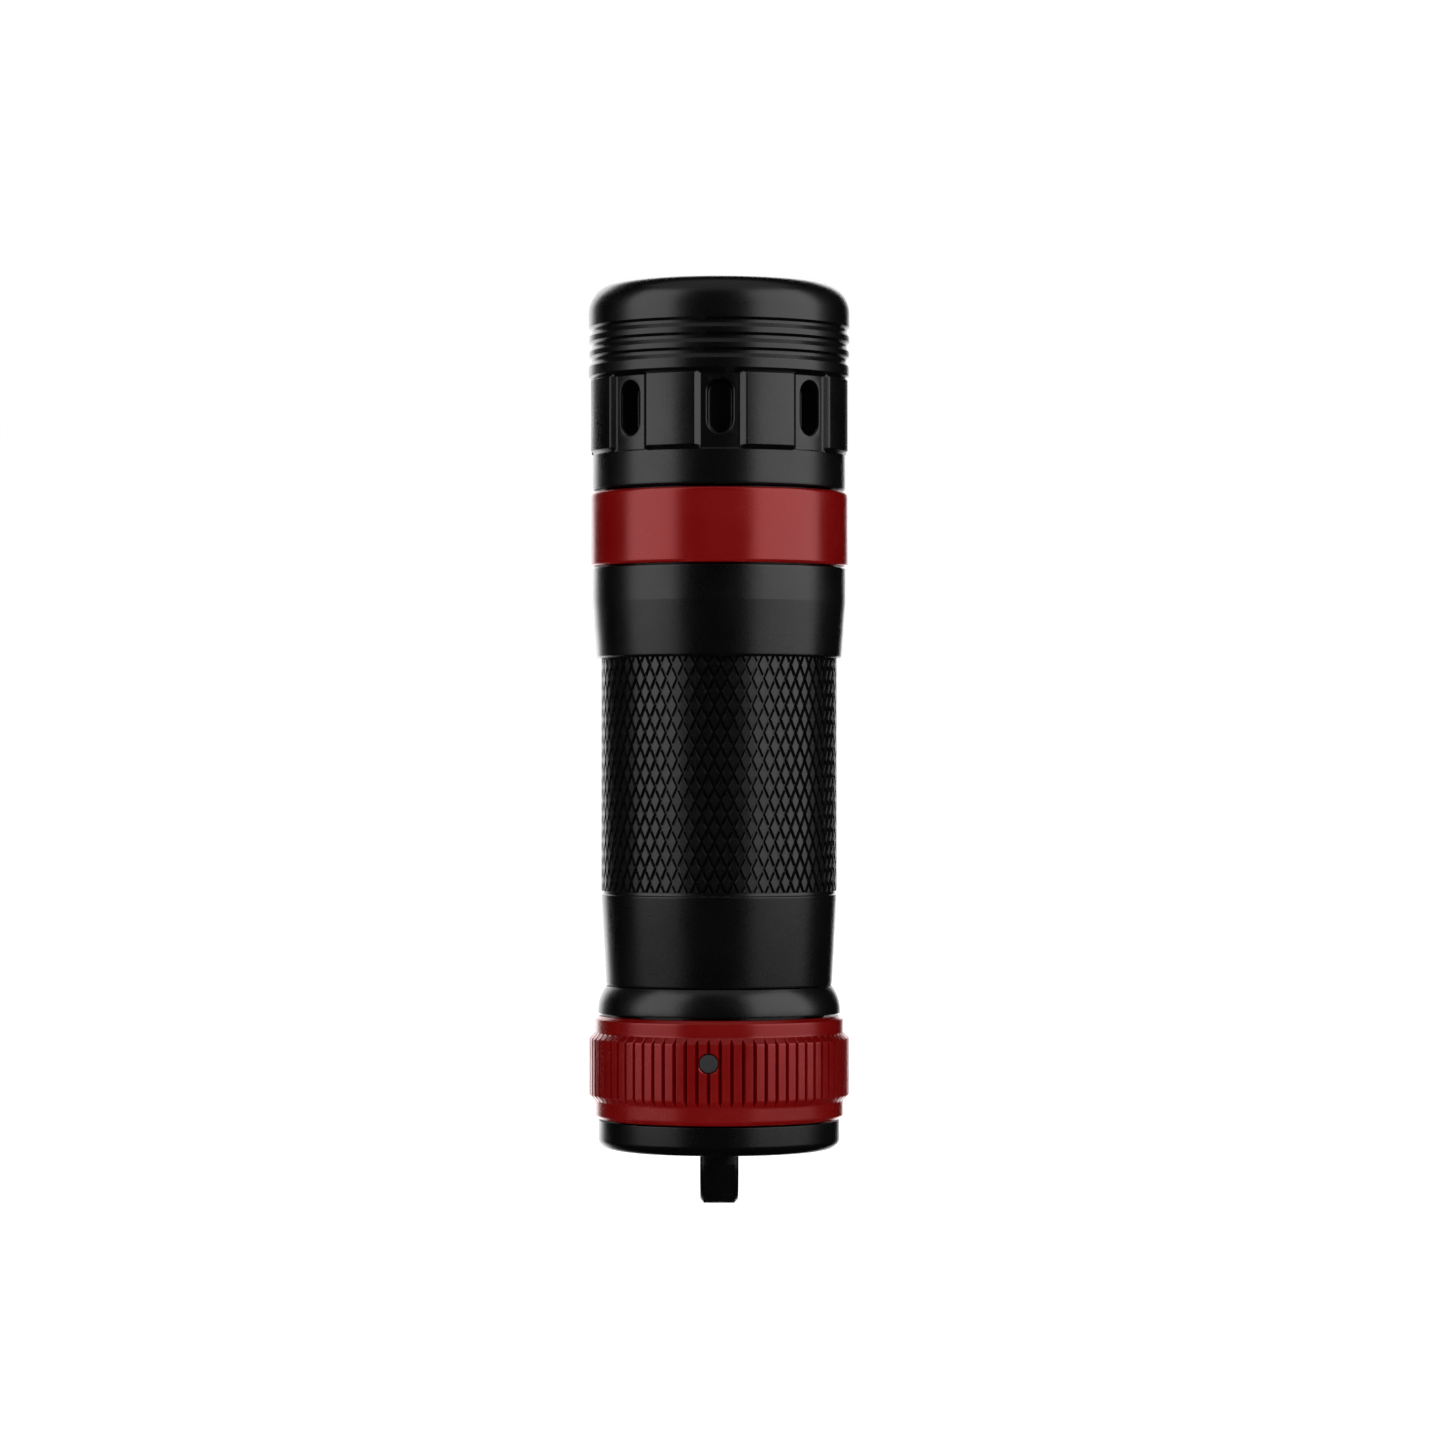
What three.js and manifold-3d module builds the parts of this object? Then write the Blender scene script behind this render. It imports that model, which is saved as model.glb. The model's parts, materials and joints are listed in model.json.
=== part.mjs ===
// Keychain flashlight with a switch ring at its tail.
// Millimetres. The light's axis is Z, the lens looks along +Z, and the tip of the key-ring lug is at Z = 0.
// One of the head's eight deep pockets faces -Y.
// Threads, the diamond knurl and the slits of the ring's grip are plain bands at their crest radius.
import * as THREE from "three";
import { mergeVertices } from "three/addons/utils/BufferGeometryUtils.js";
import Module from "manifold-3d";

const wasm = await Module();
wasm.setup();

// ---- driving dimensions -------------------------------------------------------------------------

const OUTER_SEGMENTS = 40; // facets round the shells that are seen
const INNER_SEGMENTS = 24; // facets round the pieces inside
const SMALL_SEGMENTS = 16; // facets round contacts, pins and holes
const SEAL_SIDES = 6; // facets round an O-ring's section
const FIT = 0.05; // gap between two faces that rest on each other
const FRONT = -90; // the angle of -Y, in degrees from +X

const LUG = { thickness: 3.7, width: 8, chamfer: 0.35, holeRadius: 1.55, holeHeight: 3.1 };

const CAP = {
  rear: 5.35,
  front: 8.15,
  radius: 11.74,
  rounding: { wide: 1.4, tall: 1 },
  spigotRadius: 7.8,
  spigotEnd: 11,
  wellRadius: 4,
  wellFloor: 7,
  grooveFloor: 6.85,
  grooveHeight: 9.25,
};

const SWITCH_RING = {
  rear: 8.2,
  front: 18.5,
  bore: 10.4,
  endRadius: 11.78,
  bandRadius: 12.12,
  gripRadius: 12.67,
  gripRear: 10.66,
  gripFront: 16.12,
  chamfer: 0.6,
  turn: 60,
};

const PIN = { radius: 0.87, hole: 0.95, height: 14.3, angle: FRONT - 5.1, outer: 12.58, inner: 7.3 };

const TAIL = {
  barrelRadius: 10.2,
  barrelBore: 8,
  webRear: 18.9,
  webFront: 21.5,
  rodHole: 2.4,
  flangeRear: 18.55,
  flangeFront: 21.2,
  flangeRadius: 11.81,
  neckRadius: 10.99,
  flangeBend: 4,
  spigotRadius: 9.8,
  spigotEnd: 27.2,
  cupRadius: 7.9,
  slotHalfHeight: 1,
  keyWidth: 1.6,
  keyInner: 7.2,
  keyRear: 11.6,
};

const SEAL = { section: 0.45, grooveHalfWidth: 0.52 };
const RING_SEAL = { centre: 9.9, grooveFloor: 9.28, heights: [9.9, 17.3] };
const TAIL_SEAL = { centre: 9.42, grooveFloor: 8.85, height: 22.15 };
const HEAD_SEAL = { centre: 10.47, grooveFloor: 9.9, height: 70.2 };
const CAP_SEAL = { centre: 7.44 };

const PLUNGER = {
  rear: 11.3,
  front: 17.6,
  radius: 7.8,
  bore: 2.25,
  travel: 1.2,
  grooveRadius: 1.05,
  groovePath: 7.6,
  grooveOverrun: 8.5,
  keywayWidth: 2,
  keywayInner: 7,
};

const ROD = { flangeRear: 10.3, flangeFront: 11.25, flangeRadius: 3.4, radius: 2.2, tipRadius: 1.5 };
const BUTTON = { rear: 26.05, front: 27.2, radius: 3.6, socketEnd: 26.9 };
const SEAT_RING = { rear: 27.25, front: 28.45, inner: 7.4, outer: 9.25 };

const TUBE = {
  rear: 21.25,
  rearRadius: 10.99,
  gripRear: 30.45,
  gripRadius: 11.44,
  gripFront: 53,
  reliefRadius: 11.31,
  shoulderRadius: 11.92,
  bandRear: 58.43,
  bandRadius: 12.3,
  bandFront: 61.75,
  collarRadius: 11.2,
  collarFront: 69.3,
  threadRadius: 10.85,
  front: 73.4,
  bore: 9.4,
  rearBore: 9.95,
  rearBoreEnd: 27.6,
};

const TRIM_RING = { rear: 61.8, front: 69.3, bore: 11.3, radius: 12.58, rounding: 0.38, frontRounding: 0.8 };

const HEAD = {
  rear: 69.35,
  bandRadius: 12.3,
  bandFront: 72.68,
  padRear: 73.08,
  padFront: 79.92,
  padRadius: 12.69,
  recessRadius: 12.2,
  ribRear: 80.38,
  wallRadius: 12.7,
  grooveRadius: 12.43,
  grooves: [
    [81.32, 82.29],
    [82.76, 83.72],
    [84.24, 85.18],
  ],
  grooveRearSlope: 0.42,
  grooveFrontSlope: 0.25,
  rim: { wide: 2.6, tall: 2.8 },
  front: 89.3,
  threadBore: 11,
  threadBoreEnd: 74.2,
  bore: 9.2,
  seat: 84,
  frontBore: 9.8,
  pads: 8,
  padHalfAngle: 11.25,
  padFootHalfAngle: 14.65,
};

const POCKET = { width: 2.4, height: 5.1, centre: 76.78, floorRadius: 9.9 };

const REFLECTOR = {
  rear: 77.3,
  front: 85,
  focal: 2,
  wall: 0.75,
  flangeRear: 84.05,
  flangeRadius: 9.65,
};
const LENS = { rear: 85.05, thickness: 1.6, radius: 9.65, bevel: 0.15 };
const LENS_SEAL = { centre: 9.2, section: 0.38, height: 87.08 };
const BEZEL = { rear: 87.5, front: 88.9, inner: 8.6, outer: 9.7, notchWidth: 1.4, notchDepth: 0.5 };

const CORE = {
  rear: 65.45,
  radius: 9,
  flangeRear: 73.45,
  flangeFront: 74.15,
  flangeRadius: 10.8,
  front: 75,
  wellRadius: 8.6,
  wellRoof: 71,
};
const LED_BOARD = { rear: 75.05, thickness: 1.2, radius: 8.9 };
const LED = { rear: 76.3, side: 3.4, thickness: 0.7, domeRadius: 1.35 };
const CENTRING_RING = { rear: 76.3, front: 77.25, radius: 5, window: 3.8 };
const WIRE = { radius: 0.35, hole: 0.8, offset: 6.8, rear: 67.7, height: 76.68, padOffset: 5.65 };
const DRIVER = { rear: 66.45, thickness: 1.2, radius: 8.5 };
const DRIVER_RING = { rear: 65.5, front: 66.4, inner: 7.2, outer: 8.5, notch: 1.4 };
const INDUCTOR = { side: 4.4, height: 2.2, x: 3.2, coreRadius: 2.1, coreHeight: 0.25 };
const CHIP = { side: 3, height: 0.9, x: -3.4 };

const CELL = {
  rear: 28.5,
  front: 62,
  radius: 9,
  wall: 0.25,
  floor: 0.4,
  wrap: 0.1,
  crimpInner: 7.7,
  rollRadius: 8.65,
  rollFront: 59.8,
  rollHole: 1,
  gasketRear: 60.2,
  gasketInner: 6.6,
  nubRadius: 3,
  nubFront: 63.35,
};

const FRONT_SPRING = { rear: 63.45, front: 66.38, radius: 2.1, wire: 0.25, turns: 3.5 };
const TAIL_SPRING = { rear: 7.05, front: 10.25, radius: 2.7, wire: 0.25, turns: 4 };
const SPRING_STEPS_PER_TURN = 9;
const WIRE_SIDES = 5;

// ---- materials ----------------------------------------------------------------------------------

function finish(color, roughness, metalness, extra = {}) {
  return new THREE.MeshStandardMaterial({ color, roughness, metalness, ...extra });
}

const MATERIALS = {
  blackAnodised: finish(0x17171a, 0.38, 0.75),
  redAnodised: finish(0xa51218, 0.34, 0.8),
  pinSteel: finish(0x2c2d2f, 0.45, 0.7),
  brass: finish(0xb8903f, 0.35, 0.95),
  steel: finish(0xb9bcc0, 0.3, 0.95),
  mirror: finish(0xe8e8ea, 0.08, 1),
  rubber: finish(0x121212, 0.8, 0),
  plastic: finish(0xe6e4dc, 0.55, 0),
  darkPlastic: finish(0x202124, 0.6, 0),
  board: finish(0x14402c, 0.5, 0.1),
  whiteBoard: finish(0xf0efe9, 0.5, 0.1),
  phosphor: finish(0xe9c63b, 0.45, 0),
  wrap: finish(0x23396b, 0.35, 0),
  electrode: finish(0x8c8f93, 0.5, 0.6),
  redWire: finish(0xb01c1c, 0.5, 0),
  blackWire: finish(0x1a1a1a, 0.5, 0),
  glass: finish(0xffffff, 0.02, 0, { transparent: true, opacity: 0.3 }),
};

// ---- helpers ------------------------------------------------------------------------------------

function radians(degrees) {
  return THREE.MathUtils.degToRad(degrees);
}

// Points [radius, height] along a round or elliptical arc, angles in degrees from the radial direction.
function arc(centreRadius, centreHeight, wide, from, to, steps, tall = wide) {
  return Array.from({ length: steps + 1 }, (_, i) => {
    const angle = radians(from + ((to - from) * i) / steps);
    return [centreRadius + wide * Math.cos(angle), centreHeight + tall * Math.sin(angle)];
  });
}

// A turned piece about Z. The outline's points are [radius, height], counter-clockwise, and start and
// end on the axis or are closed here into a ring.
function turned(outline, segments = INNER_SEGMENTS) {
  const points = outline.map(([radius, height]) => new THREE.Vector2(radius, height));
  if (outline[0][0] > 0) {
    points.push(points[0].clone());
  }
  return new THREE.LatheGeometry(points, segments).rotateX(Math.PI / 2);
}

// A plain ring, or a disc where the inner radius is 0.
function ring(inner, outer, rear, front, segments = INNER_SEGMENTS) {
  return turned(
    [
      [inner, rear],
      [outer, rear],
      [outer, front],
      [inner, front],
    ],
    segments,
  );
}

function oRing(centreRadius, section, height) {
  return turned(arc(centreRadius, height, section, 0, 360, SEAL_SIDES).slice(0, -1));
}

// A shape in the XY plane, extruded upwards from one height to another.
function prism(shape, rear, front) {
  const options = { depth: front - rear, bevelEnabled: false };
  return new THREE.ExtrudeGeometry(shape, options).translate(0, 0, rear);
}

function polygon(points) {
  return new THREE.Shape(points.map(([x, y]) => new THREE.Vector2(x, y)));
}

function block(width, depth, rear, front) {
  return new THREE.BoxGeometry(width, depth, front - rear).translate(0, 0, (rear + front) / 2);
}

// A cylinder whose axis points out from the Z axis.
function radialCylinder(radius, inner, outer, angle, height, segments = SMALL_SEGMENTS) {
  return new THREE.CylinderGeometry(radius, radius, outer - inner, segments)
    .rotateZ(-Math.PI / 2)
    .translate((inner + outer) / 2, 0, 0)
    .rotateZ(radians(angle))
    .translate(0, 0, height);
}

// A wire or tool of round section swept along a curve.
function swept(curve, radius, steps, sides) {
  const section = new THREE.Shape().absarc(0, 0, radius, 0, 2 * Math.PI);
  const outline = new THREE.Shape(section.getSpacedPoints(sides).slice(0, sides));
  return new THREE.ExtrudeGeometry(outline, { steps, extrudePath: curve, bevelEnabled: false });
}

class Helix extends THREE.Curve {
  constructor(radius, rear, front, fromAngle, toAngle) {
    super();
    Object.assign(this, { radius, rear, front, fromAngle, toAngle });
  }

  getPoint(t, target = new THREE.Vector3()) {
    const angle = radians(this.fromAngle + (this.toAngle - this.fromAngle) * t);
    const height = this.rear + (this.front - this.rear) * t;
    return target.set(this.radius * Math.cos(angle), this.radius * Math.sin(angle), height);
  }
}

function coilSpring({ rear, front, radius, wire, turns }) {
  const path = new Helix(radius, rear + wire, front - wire, 0, 360 * turns);
  return swept(path, wire, Math.round(turns * SPRING_STEPS_PER_TURN), WIRE_SIDES);
}

// ---- booleans -----------------------------------------------------------------------------------

function solid(geometry) {
  const bare = geometry.clone();
  bare.deleteAttribute("normal");
  bare.deleteAttribute("uv");
  const merged = mergeVertices(bare, 1e-4);
  const mesh = new wasm.Mesh({
    numProp: 3,
    vertProperties: new Float32Array(merged.attributes.position.array),
    triVerts: new Uint32Array(merged.index.array),
  });
  return new wasm.Manifold(mesh);
}

function geometryOf(manifold) {
  const { numVert, numProp, vertProperties, triVerts } = manifold.getMesh();
  const positions = new Float32Array(numVert * 3);
  for (let i = 0; i < numVert; i++) {
    positions.set(vertProperties.subarray(i * numProp, i * numProp + 3), i * 3);
  }
  const geometry = new THREE.BufferGeometry();
  geometry.setAttribute("position", new THREE.BufferAttribute(positions, 3));
  geometry.setIndex(new THREE.BufferAttribute(triVerts, 1));
  const faceted = geometry.toNonIndexed();
  faceted.computeVertexNormals();
  return faceted;
}

function cut(geometry, tools) {
  return geometryOf(tools.reduce((left, tool) => left.subtract(solid(tool)), solid(geometry)));
}

function join(geometries) {
  const [first, ...rest] = geometries;
  return geometryOf(rest.reduce((sum, piece) => sum.add(solid(piece)), solid(first)));
}

// Copies of one tool, turned about Z to evenly spaced angles.
function roundTheAxis(tool, count, startAngle) {
  return Array.from({ length: count }, (_, i) => {
    return tool.clone().rotateZ(radians(startAngle + (360 * i) / count));
  });
}

// ---- head ---------------------------------------------------------------------------------------

function headHousing() {
  const chamfer = 0.15;
  const grooves = HEAD.grooves.flatMap(([rear, front]) => [
    [HEAD.wallRadius, rear],
    [HEAD.grooveRadius, rear + HEAD.grooveRearSlope],
    [HEAD.grooveRadius, front - HEAD.grooveFrontSlope],
    [HEAD.wallRadius, front],
  ]);
  const { wide, tall } = HEAD.rim;
  const body = turned(
    [
      [HEAD.threadBore, HEAD.rear],
      [HEAD.bandRadius - chamfer, HEAD.rear],
      [HEAD.bandRadius, HEAD.rear + chamfer],
      [HEAD.bandRadius, HEAD.bandFront],
      [HEAD.padRadius, HEAD.padRear],
      [HEAD.padRadius, HEAD.padFront],
      [HEAD.recessRadius, HEAD.padFront],
      [HEAD.wallRadius, HEAD.ribRear],
      ...grooves,
      ...arc(HEAD.wallRadius - wide, HEAD.front - tall, wide, 0, 90, 6, tall),
      [HEAD.frontBore + chamfer, HEAD.front],
      [HEAD.frontBore, HEAD.front - chamfer],
      [HEAD.frontBore, HEAD.seat],
      [HEAD.bore, HEAD.seat],
      [HEAD.bore, HEAD.threadBoreEnd],
      [HEAD.threadBore, HEAD.threadBoreEnd],
    ],
    OUTER_SEGMENTS,
  );
  const tools = [
    ...roundTheAxis(recessTool(), HEAD.pads, FRONT),
    ...roundTheAxis(pocketTool(), HEAD.pads, FRONT),
  ];
  return cut(body, tools);
}

// The gap between two pads, which widens outwards; it lies across +X.
function recessTool() {
  const step = 360 / HEAD.pads / 2;
  const outside = HEAD.padRadius + 1;
  const footAngle = step - HEAD.padFootHalfAngle;
  const topAngle = step - HEAD.padHalfAngle;
  const slope = (topAngle - footAngle) / (HEAD.padRadius - HEAD.recessRadius);
  const outsideAngle = footAngle + slope * (outside - HEAD.recessRadius);
  const corners = [
    [HEAD.recessRadius, -footAngle],
    [outside, -outsideAngle],
    [outside, outsideAngle],
    [HEAD.recessRadius, footAngle],
    [HEAD.recessRadius, 0],
  ];
  const outline = corners.map(([radius, angle]) => [
    radius * Math.cos(radians(angle)),
    radius * Math.sin(radians(angle)),
  ]);
  return prism(polygon(outline), HEAD.bandFront, HEAD.padFront);
}

// A deep pocket with round ends, which stands upright in a recess; it points along +X.
function pocketTool() {
  const end = POCKET.width / 2;
  const straight = POCKET.height / 2 - end;
  const outline = new THREE.Shape()
    .absarc(0, straight, end, 0, Math.PI)
    .absarc(0, -straight, end, Math.PI, 2 * Math.PI);
  const options = { depth: HEAD.padRadius - POCKET.floorRadius, bevelEnabled: false, curveSegments: 5 };
  return new THREE.ExtrudeGeometry(outline, options)
    .translate(0, 0, POCKET.floorRadius)
    .rotateX(Math.PI / 2)
    .rotateZ(Math.PI / 2)
    .translate(0, 0, POCKET.centre);
}

function bezelRing() {
  const chamfer = 0.5;
  const body = turned([
    [BEZEL.inner, BEZEL.rear],
    [BEZEL.outer, BEZEL.rear],
    [BEZEL.outer, BEZEL.front],
    [BEZEL.inner + chamfer, BEZEL.front],
    [BEZEL.inner, BEZEL.front - chamfer],
  ]);
  const notches = block(
    2 * BEZEL.outer + 1,
    BEZEL.notchWidth,
    BEZEL.front - BEZEL.notchDepth,
    BEZEL.front + 1,
  );
  return cut(body, [notches]);
}

function lens() {
  const front = LENS.rear + LENS.thickness;
  return turned([
    [0, LENS.rear],
    [LENS.radius - LENS.bevel, LENS.rear],
    [LENS.radius, LENS.rear + LENS.bevel],
    [LENS.radius, front - LENS.bevel],
    [LENS.radius - LENS.bevel, front],
    [0, front],
  ]);
}

// A paraboloid cup round the LED, with a flange that hangs on the head's seat.
function reflector() {
  const steps = 6;
  const vertex = REFLECTOR.rear - REFLECTOR.focal;
  const mouth = (height) => Math.sqrt(4 * REFLECTOR.focal * (height - vertex));
  const heights = (top) => {
    return Array.from({ length: steps + 1 }, (_, i) => {
      return REFLECTOR.rear + ((top - REFLECTOR.rear) * i) / steps;
    });
  };
  const outside = heights(REFLECTOR.flangeRear).map((z) => [mouth(z) + REFLECTOR.wall, z]);
  const inside = heights(REFLECTOR.front).map((z) => [mouth(z), z]);
  return turned([
    ...outside,
    [REFLECTOR.flangeRadius, REFLECTOR.flangeRear],
    [REFLECTOR.flangeRadius, REFLECTOR.front],
    ...inside.reverse(),
  ]);
}

function centringRing() {
  const disc = ring(0, CENTRING_RING.radius, CENTRING_RING.rear, CENTRING_RING.front);
  const { window, rear, front } = CENTRING_RING;
  return cut(disc, [block(window, window, rear - 1, front + 1)]);
}

function wireHole(side) {
  const hole = ring(0, WIRE.hole, CORE.rear, LED.rear + 1, SMALL_SEGMENTS);
  return hole.translate(0, side * WIRE.offset, 0);
}

function ledBoard() {
  const disc = ring(0, LED_BOARD.radius, LED_BOARD.rear, LED_BOARD.rear + LED_BOARD.thickness);
  return cut(disc, [wireHole(-1), wireHole(1)]);
}

function ledDome() {
  const rear = LED.rear + LED.thickness + FIT;
  return turned([[0, rear], ...arc(0, rear, LED.domeRadius, 0, 90, 5)], SMALL_SEGMENTS);
}

// A lead that rises through the core and the LED board and lies over to its solder pad.
function ledLead(side) {
  const bend = 0.8;
  const route = [
    [WIRE.offset, WIRE.rear],
    [WIRE.offset, WIRE.height - 2 * bend],
    [WIRE.offset, WIRE.height - bend],
    [WIRE.offset - bend / 3, WIRE.height - bend / 3],
    [WIRE.padOffset, WIRE.height],
  ];
  const points = route.map(([y, z]) => new THREE.Vector3(0, side * y, z));
  return swept(new THREE.CatmullRomCurve3(points), WIRE.radius, 10, WIRE_SIDES);
}

function heatSinkCore() {
  const body = turned([
    [CORE.wellRadius, CORE.rear],
    [CORE.radius, CORE.rear],
    [CORE.radius, CORE.flangeRear],
    [CORE.flangeRadius, CORE.flangeRear],
    [CORE.flangeRadius, CORE.flangeFront],
    [CORE.radius, CORE.flangeFront],
    [CORE.radius, CORE.front],
    [0, CORE.front],
    [0, CORE.wellRoof],
    [CORE.wellRadius, CORE.wellRoof],
  ]);
  return cut(body, [wireHole(-1), wireHole(1)]);
}

function driverRing() {
  const { inner, outer, rear, front, notch } = DRIVER_RING;
  const body = ring(inner, outer, rear, front);
  return cut(body, [block(2 * outer + 1, notch, rear - 1, (rear + front) / 2)]);
}

function inductor() {
  const rear = DRIVER.rear + DRIVER.thickness + FIT;
  const top = rear + INDUCTOR.height;
  const body = block(INDUCTOR.side, INDUCTOR.side, rear, top);
  const lid = ring(0, INDUCTOR.coreRadius, top - FIT, top + INDUCTOR.coreHeight, SMALL_SEGMENTS);
  return join([body, lid]).translate(INDUCTOR.x, 0, 0);
}

function driverChip() {
  const rear = DRIVER.rear + DRIVER.thickness + FIT;
  return block(CHIP.side, CHIP.side, rear, rear + CHIP.height).translate(CHIP.x, 0, 0);
}

// ---- body ---------------------------------------------------------------------------------------

function bodyTube() {
  const relief = 0.2;
  const { section, grooveHalfWidth } = SEAL;
  const endChamfer = 0.3;
  return turned(
    [
      [TUBE.rearBore, TUBE.rear],
      [TUBE.rearRadius, TUBE.rear],
      [TUBE.gripRadius, TUBE.gripRear - 2 * relief],
      [TUBE.reliefRadius, TUBE.gripRear - 1.5 * relief],
      [TUBE.reliefRadius, TUBE.gripRear - relief / 2],
      [TUBE.gripRadius, TUBE.gripRear],
      [TUBE.gripRadius, TUBE.gripFront],
      [TUBE.shoulderRadius, TUBE.gripFront + relief],
      [TUBE.bandRadius, TUBE.bandRear],
      [TUBE.bandRadius, TUBE.bandFront],
      [TUBE.collarRadius, TUBE.bandFront],
      [TUBE.collarRadius, TUBE.collarFront],
      [TUBE.threadRadius, TUBE.collarFront],
      [TUBE.threadRadius, HEAD_SEAL.height - grooveHalfWidth],
      [HEAD_SEAL.grooveFloor, HEAD_SEAL.height - grooveHalfWidth],
      [HEAD_SEAL.grooveFloor, HEAD_SEAL.height + grooveHalfWidth],
      [TUBE.threadRadius, HEAD_SEAL.height + grooveHalfWidth],
      [TUBE.threadRadius, TUBE.front - endChamfer],
      [TUBE.threadRadius - endChamfer, TUBE.front],
      [TUBE.bore, TUBE.front],
      [TUBE.bore, TUBE.rearBoreEnd],
      [TUBE.rearBore, TUBE.rearBoreEnd - section],
    ],
    OUTER_SEGMENTS,
  );
}

function trimRing() {
  const { rear, front, bore, radius, rounding, frontRounding } = TRIM_RING;
  return turned(
    [
      [bore, rear],
      ...arc(radius - rounding, rear + rounding, rounding, -90, 0, 3),
      ...arc(radius - rounding, front - frontRounding, rounding, 0, 90, 3, frontRounding),
      [bore, front],
    ],
    OUTER_SEGMENTS,
  );
}

// ---- cell ---------------------------------------------------------------------------------------

function cellCan() {
  const inside = CELL.radius - CELL.wall;
  return turned([
    [0, CELL.rear],
    [CELL.radius, CELL.rear],
    [CELL.radius, CELL.front],
    [CELL.crimpInner, CELL.front],
    [CELL.crimpInner, CELL.front - CELL.wall],
    [inside, CELL.front - CELL.wall],
    [inside, CELL.rear + CELL.floor],
    [0, CELL.rear + CELL.floor],
  ]);
}

function cellWrap() {
  const inner = CELL.radius + FIT;
  const outer = inner + CELL.wrap;
  const front = CELL.front + FIT + CELL.wrap;
  return turned([
    [inner, CELL.rear + CELL.floor],
    [outer, CELL.rear + CELL.floor],
    [outer, front],
    [CELL.crimpInner, front],
    [CELL.crimpInner, front - CELL.wrap],
    [inner, front - CELL.wrap],
  ]);
}

function cellRoll() {
  return ring(CELL.rollHole, CELL.rollRadius, CELL.rear + CELL.floor + FIT, CELL.rollFront);
}

function cellGasket() {
  const front = CELL.front - CELL.wall - FIT;
  return ring(CELL.gasketInner, CELL.rollRadius, CELL.gasketRear, front);
}

function cellPositiveCap() {
  const skirt = 0.6;
  return turned([
    [0, CELL.gasketRear],
    [CELL.gasketInner - FIT, CELL.gasketRear],
    [CELL.gasketInner - FIT, CELL.gasketRear + skirt],
    [CELL.nubRadius + skirt, CELL.gasketRear + skirt],
    [CELL.nubRadius, CELL.nubFront],
    [0, CELL.nubFront],
  ]);
}

// ---- tail ---------------------------------------------------------------------------------------

function tailHousing() {
  const flangeLean = Math.acos(1 - (TAIL.flangeRadius - TAIL.neckRadius) / TAIL.flangeBend);
  const flangeStraight = TAIL.flangeFront - TAIL.flangeBend * Math.sin(flangeLean);
  const endChamfer = 0.3;
  const sealGroove = (radius, floor, height) => [
    [radius, height - SEAL.grooveHalfWidth],
    [floor, height - SEAL.grooveHalfWidth],
    [floor, height + SEAL.grooveHalfWidth],
    [radius, height + SEAL.grooveHalfWidth],
  ];
  const body = turned(
    [
      [TAIL.barrelBore, SWITCH_RING.rear],
      [TAIL.barrelRadius, SWITCH_RING.rear],
      ...RING_SEAL.heights.flatMap((z) => sealGroove(TAIL.barrelRadius, RING_SEAL.grooveFloor, z)),
      [TAIL.barrelRadius, TAIL.flangeRear],
      [TAIL.flangeRadius, TAIL.flangeRear],
      ...arc(
        TAIL.flangeRadius - TAIL.flangeBend,
        flangeStraight,
        TAIL.flangeBend,
        0,
        (flangeLean * 180) / Math.PI,
        4,
      ),
      [TAIL.spigotRadius, TAIL.flangeFront],
      ...sealGroove(TAIL.spigotRadius, TAIL_SEAL.grooveFloor, TAIL_SEAL.height),
      [TAIL.spigotRadius, TAIL.spigotEnd - endChamfer],
      [TAIL.spigotRadius - endChamfer, TAIL.spigotEnd],
      [TAIL.cupRadius, TAIL.spigotEnd],
      [TAIL.cupRadius, TAIL.webFront],
      [TAIL.rodHole, TAIL.webFront],
      [TAIL.rodHole, TAIL.webRear],
      [TAIL.barrelBore, TAIL.webRear],
    ],
    OUTER_SEGMENTS,
  );
  const keyOuter = TAIL.barrelBore + 0.5;
  const keyDepth = keyOuter - TAIL.keyInner;
  const key = block(TAIL.keyWidth, keyDepth, TAIL.keyRear, TAIL.webRear + 0.5);
  key.translate(0, (keyOuter + TAIL.keyInner) / 2, 0);
  return cut(join([body, key]), pinSlotTools());
}

// The pin's slot runs round the barrel through the switch ring's whole turn, with round ends.
function pinSlotTools() {
  const inner = TAIL.barrelBore - 0.5;
  const outer = TAIL.barrelRadius + 0.5;
  const steps = 6;
  const angles = Array.from({ length: steps + 1 }, (_, i) => {
    return radians(PIN.angle + (SWITCH_RING.turn * i) / steps);
  });
  const outline = [
    ...angles.map((a) => [inner * Math.cos(a), inner * Math.sin(a)]),
    ...angles.reverse().map((a) => [outer * Math.cos(a), outer * Math.sin(a)]),
  ];
  const rear = PIN.height - TAIL.slotHalfHeight;
  const front = PIN.height + TAIL.slotHalfHeight;
  const ends = [0, SWITCH_RING.turn].map((turn) => {
    return radialCylinder(TAIL.slotHalfHeight, inner, outer, PIN.angle + turn, PIN.height);
  });
  return [prism(polygon(outline.reverse()), rear, front), ...ends];
}

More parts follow.
